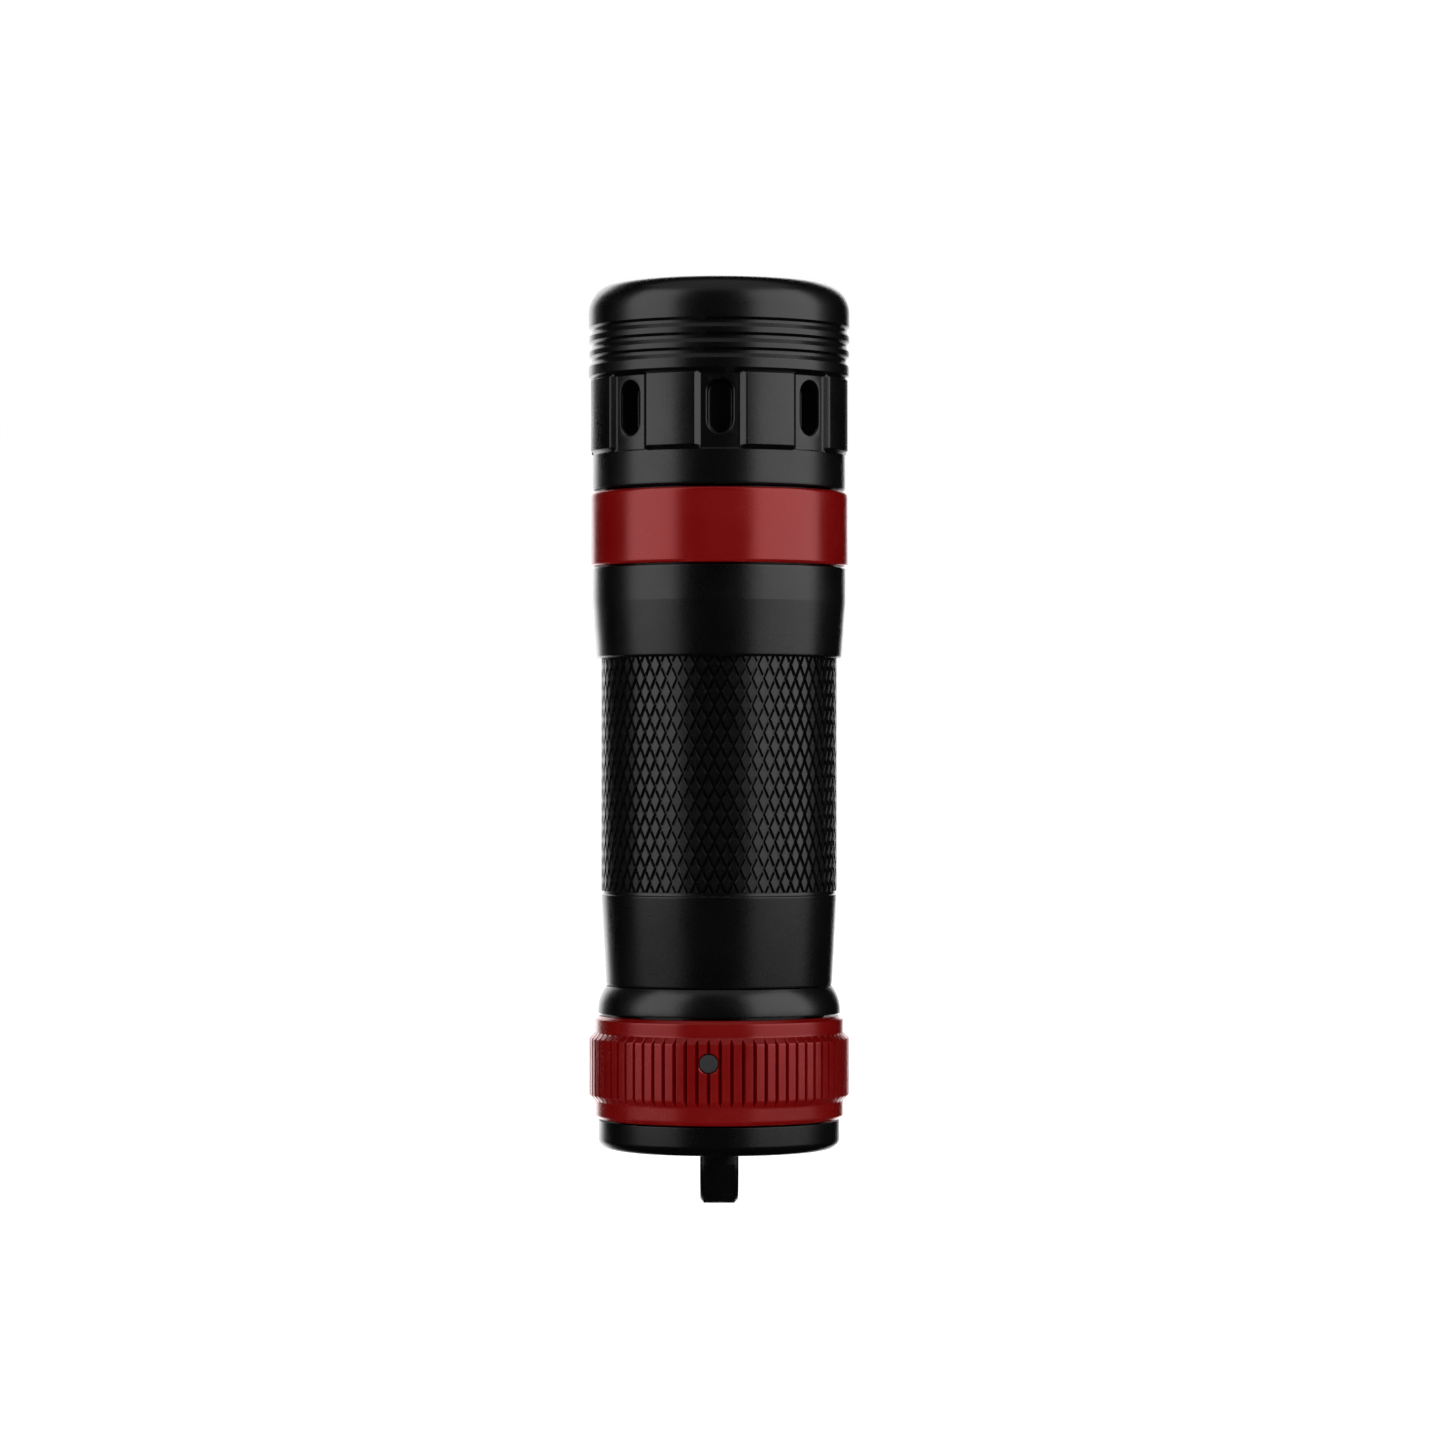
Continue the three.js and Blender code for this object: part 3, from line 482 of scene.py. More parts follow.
LENS_CHAMFER = 0.15
lens_radius, lens_rear, lens_front = radius("lens"), rear("lens"), front("lens")
turned(
    "front_lens",
    "lens",
    [
        (0, lens_rear),
        (lens_radius - LENS_CHAMFER, lens_rear, 0.03),
        (lens_radius, lens_rear + LENS_CHAMFER, 0.03),
        (lens_radius, lens_front - LENS_CHAMFER, 0.03),
        (lens_radius - LENS_CHAMFER, lens_front, 0.03),
        (0, lens_front),
    ],
    closed=False,
)


O_RING_SIDES = 20
REFLECTOR_FOCUS = 2
REFLECTOR_WALL = 0.75
REFLECTOR_FLANGE = 0.95
REFLECTOR_STEPS = 40


def o_ring(node):
    low, high = rear(node), front(node)
    section = (high - low) / 2
    centre, middle = radius(node) - section, (low + high) / 2
    outline = []
    for k in range(O_RING_SIDES):
        angle = TURN * k / O_RING_SIDES
        outline.append((centre + section * math.cos(angle), middle + section * math.sin(angle)))
    make(node + "_torus", lathe(outline), node)


def reflector_shape():
    """A parabolic cup with a flange at its mouth."""
    low, high = rear("reflector"), front("reflector")
    vertex = low - REFLECTOR_FOCUS

    def mouth(height):
        return math.sqrt(4 * REFLECTOR_FOCUS * (height - vertex))

    flange_rear = high - REFLECTOR_FLANGE
    steps = range(REFLECTOR_STEPS + 1)
    outside = [low + (flange_rear - low) * k / REFLECTOR_STEPS for k in steps]
    inside = [high - (high - low) * k / REFLECTOR_STEPS for k in steps]
    outline = [(mouth(z) + REFLECTOR_WALL, z) for z in outside]
    outline += [(radius("reflector"), flange_rear), (radius("reflector"), high)]
    return lathe(outline + [(mouth(z), z) for z in inside])


make("reflector_cup", reflector_shape(), "reflector")


# ---- LED ----

PHOSPHOR_RISE = 0.12
PHOSPHOR_HALF = 0.75
DOME_STEPS = 16
dome_rear, dome_radius = rear("led_dome"), radius("led_dome")
dome_height = front("led_dome") - dome_rear
dome_angles = [TURN / 4 * k / DOME_STEPS for k in range(DOME_STEPS + 1)]
dome_outline = [(dome_radius * math.cos(a), dome_rear + dome_height * math.sin(a)) for a in dome_angles]
make("led_lens_dome", lathe([(0, dome_rear), *dome_outline], 64), "led_dome")


def bevelled_block(half_x, half_y, low, high, bevel):
    """A block about the Z axis with bevelled edges at its two ends."""
    rings = []
    for inset, height in ((bevel, low), (0, low + bevel), (0, high - bevel), (bevel, high)):
        x, y = half_x - inset, half_y - inset
        rings.append([(x, -y, height), (x, y, height), (-x, y, height), (-x, -y, height)])
    vertices, faces = loft(rings, closed=False)
    faces.append((3, 2, 1, 0))
    faces.append((12, 13, 14, 15))
    return vertices, faces


led_low, led_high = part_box("led_package")[0] / MM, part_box("led_package")[1] / MM
base_front = led_high.z - PHOSPHOR_RISE
base_shape = bevelled_block(led_high.x, led_high.y, led_low.z, base_front, 0.06)
tile_shape = bevelled_block(PHOSPHOR_HALF, PHOSPHOR_HALF, base_front - 0.01, led_high.z, 0.03)
led_base = make("led_base", base_shape, "led_package", sharp=25)
make("led_phosphor_tile", tile_shape, "led_package", sharp=25)


# ---- trim ring ----

TRIM_BORE = 11.3
TRIM_ROUND, TRIM_ROUND_FRONT = 0.3, 0.4
trim_rear, trim_front = TRIM_REAR + 0.13, TRIM_FRONT - 0.2  # short of both ends, where dark gaps show
trim_corner = TRIM_RADIUS - TRIM_ROUND
turned(
    "red_trim_ring",
    "trim_ring",
    [
        (TRIM_BORE, trim_rear),
        *arc(trim_corner, trim_rear + TRIM_ROUND, TRIM_ROUND, TRIM_ROUND, -90, 0, 8),
        *arc(trim_corner, trim_front - TRIM_ROUND_FRONT, TRIM_ROUND, TRIM_ROUND_FRONT, 0, 90, 8),
        (TRIM_BORE, trim_front),
    ],
    steps=6,
    segments=256,
)


# ---- tube ----

GRIP_REAR, GRIP_FRONT, GRIP_RADIUS = 30.45, 53.0, 11.44
GRIP_SEAT = 11.0
RELIEF_RADIUS = 11.31
SHOULDER_RADIUS = 11.92
TUBE_NECK_RADIUS = 10.99
TUBE_BAND_REAR, TUBE_BAND_FRONT = 58.43, 61.75
COLLAR_RADIUS, COLLAR_FRONT = 11.2, 69.3
THREAD_RADIUS = 10.85
TUBE_BORE = 9.4
REAR_BORE, REAR_BORE_END = 9.95, 27.6
SEAL_HALF = 0.52
HEAD_SEAL_HEIGHT = (rear("head_o_ring") + front("head_o_ring")) / 2
HEAD_SEAL_FLOOR = 9.9
THREAD_PITCH, THREAD_DEPTH = 1.0, 0.4
THREAD_ROWS_PER_TURN = 14


def thread_relief(low, high, height, angle):
    """The depth of a right-handed thread below its crest, which runs out before both ends of its length."""
    run_out = min(height - low, high - height) / (0.5 * THREAD_PITCH)
    if run_out <= 0:
        return 0
    place = (height / THREAD_PITCH - angle / TURN) % 1
    flank = max(0, 1 - abs(place - 0.5) / 0.42)
    return THREAD_DEPTH * min(1, flank * 1.25) * min(1, run_out)


def threaded(outline, low, high, crest, outwards):
    """A turned shape whose straight wall of radius crest carries a thread between two heights."""
    rows = []
    outline = supported(outline, whole=crest)
    for i, (distance, height) in enumerate(outline):
        rows.append((distance, height, False))
        ahead = outline[(i + 1) % len(outline)]
        on_wall = abs(distance - crest) < 1e-6 and abs(ahead[0] - crest) < 1e-6
        inside = min(height, ahead[1]) < low and max(height, ahead[1]) > high
        if on_wall and inside:
            count = round((high - low) / THREAD_PITCH * THREAD_ROWS_PER_TURN)
            for k in range(count + 1):
                part = k / count if ahead[1] > height else 1 - k / count
                rows.append((crest, low + (high - low) * part, True))
    rings = []
    side = 1 if outwards else -1
    for distance, height, cut in rows:
        ring = []
        for k in range(SEGMENTS):
            angle = TURN * k / SEGMENTS
            sink = thread_relief(low, high, height, angle) if cut else 0
            ring.append(at(FRONT + angle, distance + side * sink, height))
        rings.append(ring)
    return loft(rings)


def tube_shape():
    outline = rounded(
        [
            (REAR_BORE, TUBE_REAR, 0.1),
            (TUBE_NECK_RADIUS, TUBE_REAR, 0.12),
            (GRIP_RADIUS, GRIP_REAR - 0.4, 0.05),
            (RELIEF_RADIUS, GRIP_REAR - 0.3, 0.03),
            (RELIEF_RADIUS, GRIP_REAR - 0.02, 0.01),
            (GRIP_SEAT, GRIP_REAR - 0.02, 0.01),
            (GRIP_SEAT, GRIP_FRONT + 0.02, 0.01),
            (SHOULDER_RADIUS - 0.14, GRIP_FRONT + 0.02, 0.04),
            (SHOULDER_RADIUS, GRIP_FRONT + 0.2, 0.04),
            (TUBE_RADIUS, TUBE_BAND_REAR, 0.05),
            (TUBE_RADIUS, TUBE_BAND_FRONT, 0.1),
            (COLLAR_RADIUS, TUBE_BAND_FRONT),
            (COLLAR_RADIUS, COLLAR_FRONT),
            (THREAD_RADIUS, COLLAR_FRONT),
            (THREAD_RADIUS, HEAD_SEAL_HEIGHT - SEAL_HALF),
            (HEAD_SEAL_FLOOR, HEAD_SEAL_HEIGHT - SEAL_HALF),
            (HEAD_SEAL_FLOOR, HEAD_SEAL_HEIGHT + SEAL_HALF),
            (THREAD_RADIUS, HEAD_SEAL_HEIGHT + SEAL_HALF),
            (THREAD_RADIUS, TUBE_FRONT - 0.3),
            (THREAD_RADIUS - 0.3, TUBE_FRONT),
            (TUBE_BORE, TUBE_FRONT),
            (TUBE_BORE, REAR_BORE_END),
            (REAR_BORE, REAR_BORE_END - 0.45),
        ]
    )
    return threaded(outline, 22.9, 26.9, REAR_BORE, outwards=True)


KNURLS = 60
KNURL_HEIGHT = 2.598
KNURL_ROW = 43.1  # the height of a row of crossings
KNURL_ANGLE = math.radians(3.2)  # the angle of one crossing of that row, from the front
# One pitch of a groove and a ridge: how far along the pitch, and the depth there.
KNURL_SECTION = ((0, -0.3), (0.06, -0.3), (0.145, -0.03), (0.172, 0), (0.5, 0))
KNURL_SECTION += ((0.828, 0), (0.855, -0.03), (0.94, -0.3))


def knurl_shape():
    """A closed sleeve with two families of crossing grooves that leave flat-topped diamonds."""
    steps = len(KNURL_SECTION)
    around = KNURLS * steps
    low = math.floor(2 * (GRIP_REAR - KNURL_ROW) / KNURL_HEIGHT) - 1
    high = math.ceil(2 * (GRIP_FRONT - KNURL_ROW) / KNURL_HEIGHT) + 1
    vertices, index, faces = [], {}, []

    def corner(a, b):
        key = (a - b, a % around)
        if key not in index:
            up = a // steps + KNURL_SECTION[a % steps][0]
            down = b // steps + KNURL_SECTION[b % steps][0]
            depth = min(KNURL_SECTION[a % steps][1], KNURL_SECTION[b % steps][1])
            angle = FRONT + KNURL_ANGLE + TURN / KNURLS * (up + down) / 2
            height = KNURL_ROW + KNURL_HEIGHT * (up - down) / 2
            index[key] = len(vertices)
            vertices.append(at(angle, GRIP_RADIUS + depth, height))
        return index[key]

    for a in range(around):
        for offset in range(low * steps, high * steps):
            b = a - offset
            faces.append((corner(a, b), corner(a, b + 1), corner(a + 1, b + 1), corner(a + 1, b)))
    shape = bmesh.new()
    made = [shape.verts.new(v) for v in vertices]
    for face in faces:
        shape.faces.new([made[v] for v in face])
    loops = []
    for height, way in ((GRIP_REAR, -1), (GRIP_FRONT, 1)):
        everything = shape.verts[:] + shape.edges[:] + shape.faces[:]
        plane = {"plane_co": (0, 0, height), "plane_no": (0, 0, way)}
        bmesh.ops.bisect_plane(shape, geom=everything, dist=1e-5, clear_outer=True, **plane)
    bmesh.ops.dissolve_degenerate(shape, edges=shape.edges, dist=1e-4)
    for height in (GRIP_REAR, GRIP_FRONT):
        rim = [e for e in shape.edges if e.is_boundary and abs(e.verts[0].co.z - height) < 1e-3]
        drawn = bmesh.ops.extrude_edge_only(shape, edges=rim)["geom"]
        inner = [v for v in drawn if isinstance(v, bmesh.types.BMVert)]
        for vertex in inner:
            flat = vertex.co.xy.normalized() * (GRIP_SEAT + 0.02)
            vertex.co = (flat.x, flat.y, height)
        loops += [e for e in drawn if isinstance(e, bmesh.types.BMEdge)]
    bmesh.ops.bridge_loops(shape, edges=loops)
    bmesh.ops.recalc_face_normals(shape, faces=shape.faces)
    shape.verts.index_update()
    vertices, faces = [tuple(v.co) for v in shape.verts], []
    for face in shape.faces:  # in an order of their own, which is the same in every run
        corners = [v.index for v in face.verts]
        first = corners.index(min(corners))
        faces.append(tuple(corners[first:] + corners[:first]))
    shape.free()
    return vertices, sorted(faces)


make("tube_shell", tube_shape(), "body_tube")
make("knurled_grip", knurl_shape(), "body_tube", sharp=35)


# ---- tail ----

FLANGE_REAR, FLANGE_FRONT = 18.55, 21.2
FLANGE_NECK = 10.99
FLANGE_BEND = 4.0
BARREL_RADIUS, BARREL_BORE = 10.2, 8.0
BARREL_SEAL_FLOOR = 9.28
SPIGOT_RADIUS = 9.8
SPIGOT_SEAL_FLOOR = 8.85
WEB_REAR, WEB_FRONT = 18.9, 21.5
ROD_HOLE = 2.4
CUP_RADIUS = 7.9
KEY_HALF_WIDTH, KEY_INNER, KEY_REAR = 0.8, 7.2, 11.6
PIN_ANGLE = FRONT - math.radians(5.1)
PIN_HEIGHT = (rear("index_pin") + front("index_pin")) / 2
PIN_RADIUS = (front("index_pin") - rear("index_pin")) / 2
PIN_OUTER, PIN_INNER = 12.58, 7.3
PIN_HOLE = 0.95
SLOT_HALF_HEIGHT = 1.0
SLOT_END_STEPS, SLOT_STEPS = 48, 40
RING_TURN = math.radians(60)


def seal_groove(wall, floor, node):
    middle = (rear(node) + front(node)) / 2
    return [
        (wall, middle - SEAL_HALF),
        (floor, middle - SEAL_HALF),
        (floor, middle + SEAL_HALF),
        (wall, middle + SEAL_HALF),
    ]


def tail_shape():
    lean = math.acos(1 - (TAIL_RADIUS - FLANGE_NECK) / FLANGE_BEND)
    flange_centre = TAIL_RADIUS - FLANGE_BEND
    flange_straight = FLANGE_FRONT - FLANGE_BEND * math.sin(lean)
    outline = rounded(
        [
            (BARREL_BORE, TAIL_REAR),
            (BARREL_RADIUS, TAIL_REAR),
            *seal_groove(BARREL_RADIUS, BARREL_SEAL_FLOOR, "rear_ring_seal"),
            *seal_groove(BARREL_RADIUS, BARREL_SEAL_FLOOR, "front_ring_seal"),
            (BARREL_RADIUS, FLANGE_REAR),
            (TAIL_RADIUS, FLANGE_REAR, 0.08),
            *arc(flange_centre, flange_straight, FLANGE_BEND, FLANGE_BEND, 0, math.degrees(lean)),
            (SPIGOT_RADIUS, FLANGE_FRONT),
            *seal_groove(SPIGOT_RADIUS, SPIGOT_SEAL_FLOOR, "tail_o_ring"),
            (SPIGOT_RADIUS, TAIL_FRONT - 0.3),
            (SPIGOT_RADIUS - 0.3, TAIL_FRONT),
            (CUP_RADIUS, TAIL_FRONT),
            (CUP_RADIUS, WEB_FRONT),
            (ROD_HOLE, WEB_FRONT),
            (ROD_HOLE, WEB_REAR),
            (BARREL_BORE, WEB_REAR),
        ],
        steps=6,
    )
    return threaded(outline, 22.85, 26.75, SPIGOT_RADIUS, outwards=False)


def slot_shape():
    """The pin's slot: a band round the barrel with round ends, as long as the ring turns."""
    inner, outer = BARREL_BORE - 0.5, BARREL_RADIUS + 0.5
    half_turn, half_height = RING_TURN / 2, SLOT_HALF_HEIGHT
    middle_radius = (inner + outer) / 2

    def end(centre, start):
        angles = [start + TURN / 2 * k / SLOT_END_STEPS for k in range(SLOT_END_STEPS + 1)]
        spread = half_height / middle_radius
        return [(centre + spread * math.cos(a), half_height * math.sin(a)) for a in angles]

    section = end(-half_turn, TURN / 4)
    section += [(-half_turn + RING_TURN * k / SLOT_STEPS, -half_height) for k in range(1, SLOT_STEPS)]
    section += end(half_turn, -TURN / 4)
    section += [(half_turn - RING_TURN * k / SLOT_STEPS, half_height) for k in range(1, SLOT_STEPS)]
    middle = PIN_ANGLE + half_turn
    rings = [[at(middle + a, distance, PIN_HEIGHT + h) for a, h in section] for distance in (inner, outer)]
    vertices, faces = loft(rings, closed=False)
    width = len(section)
    far_end = SLOT_END_STEPS + SLOT_STEPS
    caps = [range(SLOT_END_STEPS + 1), range(far_end - 1, far_end + SLOT_END_STEPS + 1)]
    for k in range(SLOT_STEPS):
        low, high = SLOT_END_STEPS + k, width - k
        caps.append([low % width, (low + 1) % width, (high - 1) % width, high % width])
    for start, flip in ((0, False), (width, True)):
        for cap in caps:
            points = [start + p for p in cap]
            faces.append(tuple(points if flip else reversed(points)))
    return vertices, faces


tail = make("tail_housing_shell", tail_shape(), "tail_housing")
key = block(-KEY_HALF_WIDTH, KEY_HALF_WIDTH, KEY_INNER, BARREL_BORE + 0.5, KEY_REAR, WEB_REAR + 0.5)
cut_with(tail, [key], "UNION")
cut_with(tail, [slot_shape()])
SEALS = ("tail_o_ring", "rear_ring_seal", "front_ring_seal")
SEALS += ("head_o_ring", "tail_cap_o_ring", "lens_o_ring")
for seal in SEALS:
    o_ring(seal)


# ---- switch ring ----

SLITS = 71
SLIT_DEPTH = 0.56
SLIT_HALF_WIDTH = 0.165
RING_BORE = 10.4
RING_END_RADIUS, RING_BAND_RADIUS = 11.78, 12.12
GRIP_LOW, GRIP_HIGH, GRIP_CHAMFER = 10.66, 16.12, 0.6


def switch_ring_shape():
    """A ring with a raised grip. Each slit is a V that comes to a point in the chamfers at its ends."""
    end_chamfer = RING_BAND_RADIUS - RING_END_RADIUS
    rear_end, front_end = RING_REAR + 0.13, RING_FRONT - 0.17  # short of both ends, where dark gaps show
    bore_chamfer = 0.2
    outline = rounded(
        [
            (RING_BORE, rear_end + bore_chamfer),
            (RING_BORE + bore_chamfer, rear_end),
            (RING_END_RADIUS, rear_end),
            (RING_BAND_RADIUS, rear_end + end_chamfer),
            (RING_BAND_RADIUS, GRIP_LOW - GRIP_CHAMFER),
            (RING_RADIUS, GRIP_LOW, 0.05),
            (RING_RADIUS, GRIP_HIGH, 0.05),
            (RING_BAND_RADIUS, GRIP_HIGH + GRIP_CHAMFER),
            (RING_BAND_RADIUS, front_end - end_chamfer),
            (RING_END_RADIUS, front_end),
            (RING_BORE + bore_chamfer, front_end),
            (RING_BORE, front_end - bore_chamfer),
        ]
    )
    outline = supported(outline)
    rows = []
    for i, (distance, height) in enumerate(outline):
        rows.append((distance, height))
        ahead = outline[(i + 1) % len(outline)]
        if distance > 12.1 and ahead[0] > 12.1 and abs(ahead[0] - distance) > 0.3:
            for f in (k / 6 for k in range(1, 6)):
                rows.append((distance + (ahead[0] - distance) * f, height + (ahead[1] - height) * f))
    floor = RING_RADIUS - SLIT_DEPTH
    spacing = TURN / SLITS
    rings = []
    for distance, height in rows:
        in_grip = GRIP_LOW - GRIP_CHAMFER < height < GRIP_HIGH + GRIP_CHAMFER
        depth = max(0.0, distance - floor) if in_grip else 0.0
        half = max(SLIT_HALF_WIDTH * depth / SLIT_DEPTH, 0.012) / RING_RADIUS
        lip = half + 0.03 / RING_RADIUS
        edge = distance - depth * 0.15 - 0.012 * min(1, depth / 0.1)
        crest = spacing - 2 * lip
        across = ((0, distance - depth), (half * 0.85, edge), (lip, distance))
        across += tuple((lip + crest * part, distance) for part in (0.35, 0.65))
        across += ((spacing - lip, distance), (spacing - half * 0.85, edge))
        rings.append([at(PIN_ANGLE + s * spacing + a, d, height) for s in range(SLITS) for a, d in across])
    return loft(rings)


ring = make("red_switch_ring", switch_ring_shape(), "switch_ring", sharp=30)
HOLE_RIM = 0.16
pin_hole_outline = [
    (0, RING_BORE - 1),
    (PIN_HOLE, RING_BORE - 1),
    (PIN_HOLE, RING_RADIUS - HOLE_RIM),
    (PIN_HOLE + HOLE_RIM, RING_RADIUS),
    (PIN_HOLE + HOLE_RIM + 0.94, RING_RADIUS + 1),
    (0, RING_RADIUS + 1),
]
cut_with(ring, [rod(pin_hole_outline, PIN_ANGLE, PIN_HEIGHT)])
pin_corners = [(0, PIN_INNER), (PIN_RADIUS, PIN_INNER, 0.1), (PIN_RADIUS, PIN_OUTER, 0.08), (0, PIN_OUTER)]
pin_outline = rounded(pin_corners, closed=False, steps=4)
make("index_pin_turned", rod(pin_outline, PIN_ANGLE, PIN_HEIGHT), "index_pin")


# ---- tail cap ----

CAP_REAR, CAP_FRONT = 5.35, 8.15
CAP_ROUND_WIDE, CAP_ROUND_TALL = 1.4, 1.0
CAP_SPIGOT_RADIUS = 7.8
CAP_SEAL_FLOOR = 6.85
CAP_WELL_RADIUS, CAP_WELL_FLOOR = 4.0, 7.0
LUG_HALF_THICKNESS = 1.85
LUG_HALF_WIDTH = 4.0
LUG_CHAMFER = 0.35
LUG_HOLE, LUG_HOLE_HEIGHT, LUG_HOLE_CHAMFER = 1.55, 3.1, 0.25
LUG_SIDE_STEPS, LUG_ROUND_STEPS = 16, 48


def lug_shape():
    """A plate across X with a round end, chamfered edges and a chamfered hole, rooted in the cap."""
    root = CAP_REAR + 0.9
    end = LUG_HALF_WIDTH
    sides, bends = range(LUG_SIDE_STEPS), range(LUG_ROUND_STEPS)

    def edge(inset):
        size = end - inset
        points = [(size, root + (end - root) * k / LUG_SIDE_STEPS) for k in sides]
        angles = [-TURN / 2 * k / LUG_ROUND_STEPS for k in bends]
        points += [(size * math.cos(a), end + size * math.sin(a)) for a in angles]
        points += [(-size, end + (root - end) * k / LUG_SIDE_STEPS) for k in sides]
        points += [(-size + 2 * size * k / LUG_SIDE_STEPS, root) for k in sides]
        return points

    def hole(size):
        return [
            (size * math.cos(a), LUG_HOLE_HEIGHT + size * math.sin(a))
            for a in (math.atan2(z - LUG_HOLE_HEIGHT, y) for y, z in edge(0))
        ]

    face = LUG_HALF_THICKNESS
    soft = 0.04
    loops = [
        (face - LUG_CHAMFER - soft, edge(0)),
        (face - LUG_CHAMFER + soft * 0.6, edge(soft)),
        (face - soft, edge(LUG_CHAMFER - soft * 0.6)),
        (face, edge(LUG_CHAMFER + soft)),
        (face, hole(LUG_HOLE + LUG_HOLE_CHAMFER + soft)),
        (face - soft, hole(LUG_HOLE + LUG_HOLE_CHAMFER - soft * 0.6)),
        (face - LUG_HOLE_CHAMFER + soft, hole(LUG_HOLE + soft * 0.4)),
        (face - LUG_HOLE_CHAMFER - soft, hole(LUG_HOLE)),
    ]
    loops = [(-x, points) for x, points in reversed(loops)] + [(x, points) for x, points in loops]
    rings = [[(x, y, z) for y, z in points] for x, points in loops]
    return loft(rings)


cap_corner = CAP_RADIUS - CAP_ROUND_WIDE
cap = turned(
    "tail_cap_shell",
    "tail_cap",
    [
        (0, CAP_REAR),
        *arc(cap_corner, CAP_REAR + CAP_ROUND_TALL, CAP_ROUND_WIDE, CAP_ROUND_TALL, -90, 0),
        (CAP_RADIUS, CAP_FRONT, 0.06),
        (CAP_SPIGOT_RADIUS, CAP_FRONT),
        *seal_groove(CAP_SPIGOT_RADIUS, CAP_SEAL_FLOOR, "tail_cap_o_ring"),
        (CAP_SPIGOT_RADIUS, CAP_SPIGOT_END),
        (CAP_WELL_RADIUS, CAP_SPIGOT_END),
        (CAP_WELL_RADIUS, CAP_WELL_FLOOR),
        (0, CAP_WELL_FLOOR),
    ],
    closed=False,
    steps=6,
    sharp=35,
)
cut_with(cap, [lug_shape()], "UNION")


# ---- materials ----


MATERIALS = {}  # each finished material, by the name of its slot


class Look:
    """A material's node tree, with short ways to add what the finishes here are made of."""

    def __init__(self, name):
        self.name = name
        self.material = bpy.data.materials.new(name)
        self.material.use_nodes = True
        self.nodes = self.material.node_tree.nodes
        self.links = self.material.node_tree.links
        self.shader = self.nodes["Principled BSDF"]
        self.place = self.nodes.new("ShaderNodeTexCoord").outputs["Object"]
        self.height = None

    def noise(self, size, detail=2.0, stretch=(1, 1, 1), roughness=0.55):
        """A noise whose features are about size millimetres across, as a value around 0.5."""
        scaled = self.nodes.new("ShaderNodeMapping")
        scaled.inputs["Scale"].default_value = [1 / (size * MM) * s for s in stretch]
        self.links.new(self.place, scaled.inputs["Vector"])
        texture = self.nodes.new("ShaderNodeTexNoise")
        texture.inputs["Scale"].default_value = 1
        texture.inputs["Detail"].default_value = detail
        texture.inputs["Roughness"].default_value = roughness
        self.links.new(scaled.outputs["Vector"], texture.inputs["Vector"])
        return texture.outputs["Fac"]

    def cells(self, size, feature="F1"):
        """A cell pattern with cells about size millimetres across."""
        scaled = self.nodes.new("ShaderNodeMapping")
        scaled.inputs["Scale"].default_value = [1 / (size * MM)] * 3
        self.links.new(self.place, scaled.inputs["Vector"])
        texture = self.nodes.new("ShaderNodeTexVoronoi")
        texture.feature = feature
        texture.inputs["Scale"].default_value = 1
        self.links.new(scaled.outputs["Vector"], texture.inputs["Vector"])
        return texture.outputs["Distance"]

    def hoops(self, spacing, wobble):
        """Even rings round the Z axis, spacing millimetres apart."""
        texture = self.nodes.new("ShaderNodeTexWave")
        texture.wave_type = "RINGS"
        texture.rings_direction = "Z"
        texture.inputs["Scale"].default_value = TURN / 20 / (spacing * MM)
        texture.inputs["Distortion"].default_value = wobble
        self.links.new(self.place, texture.inputs["Vector"])
        return texture.outputs["Fac"]

    def remap(self, value, low, high, from_low=0.0, from_high=1.0):
        node = self.nodes.new("ShaderNodeMapRange")
        node.inputs["From Min"].default_value = from_low
        node.inputs["From Max"].default_value = from_high
        node.inputs["To Min"].default_value = low
        node.inputs["To Max"].default_value = high
        self.links.new(value, node.inputs["Value"])
        return node.outputs["Result"]

    def times(self, a, b):
        node = self.nodes.new("ShaderNodeMath")
        node.operation = "MULTIPLY"
        self.links.new(a, node.inputs[0])
        self.links.new(b, node.inputs[1])
        return node.outputs["Value"]

    def edges(self, low, high):
        """1 on convex edges and 0 elsewhere."""
        geometry = self.nodes.new("ShaderNodeNewGeometry")
        return self.remap(geometry.outputs["Pointiness"], 0.0, 1.0, low, high)

    def between(self, value, first, second):
        """A colour between two, by a value from 0 to 1."""
        node = self.nodes.new("ShaderNodeMix")
        node.data_type = "RGBA"
        sockets = [s for s in node.inputs if s.type == "RGBA"]
        for socket, colour in zip(sockets, (first, second)):
            if isinstance(colour, bpy.types.NodeSocket):
                self.links.new(colour, socket)
            else:
                socket.default_value = (*colour, 1)
        self.links.new(value, node.inputs["Factor"])
        return [s for s in node.outputs if s.type == "RGBA"][0]

    def relief(self, value, depth, strength):
        """Adds a bump that is depth millimetres deep."""
        node = self.nodes.new("ShaderNodeBump")
        node.inputs["Strength"].default_value = strength
        node.inputs["Distance"].default_value = depth * MM
        self.links.new(value, node.inputs["Height"])
        if self.height is not None:
            self.links.new(self.height, node.inputs["Normal"])
        self.height = node.outputs["Normal"]

    def done(self, colour, roughness, **fixed):
        """Links the colour and roughness, or sets them, and sets every fixed socket by its name."""
        for socket, value in (("Base Color", colour), ("Roughness", roughness)):
            if isinstance(value, bpy.types.NodeSocket):
                self.links.new(value, self.shader.inputs[socket])
            else:
                self.shader.inputs[socket].default_value = (*value, 1) if socket == "Base Color" else value
        for key, value in fixed.items():
            self.shader.inputs[key.replace("_", " ")].default_value = value
        if self.height is not None:
            self.links.new(self.height, self.shader.inputs["Normal"])
        MATERIALS[self.name] = self.material


def toned(colour, share):
    """A colour made darker or lighter, no part of it over 1."""
    return tuple(min(1, c * share) for c in colour)


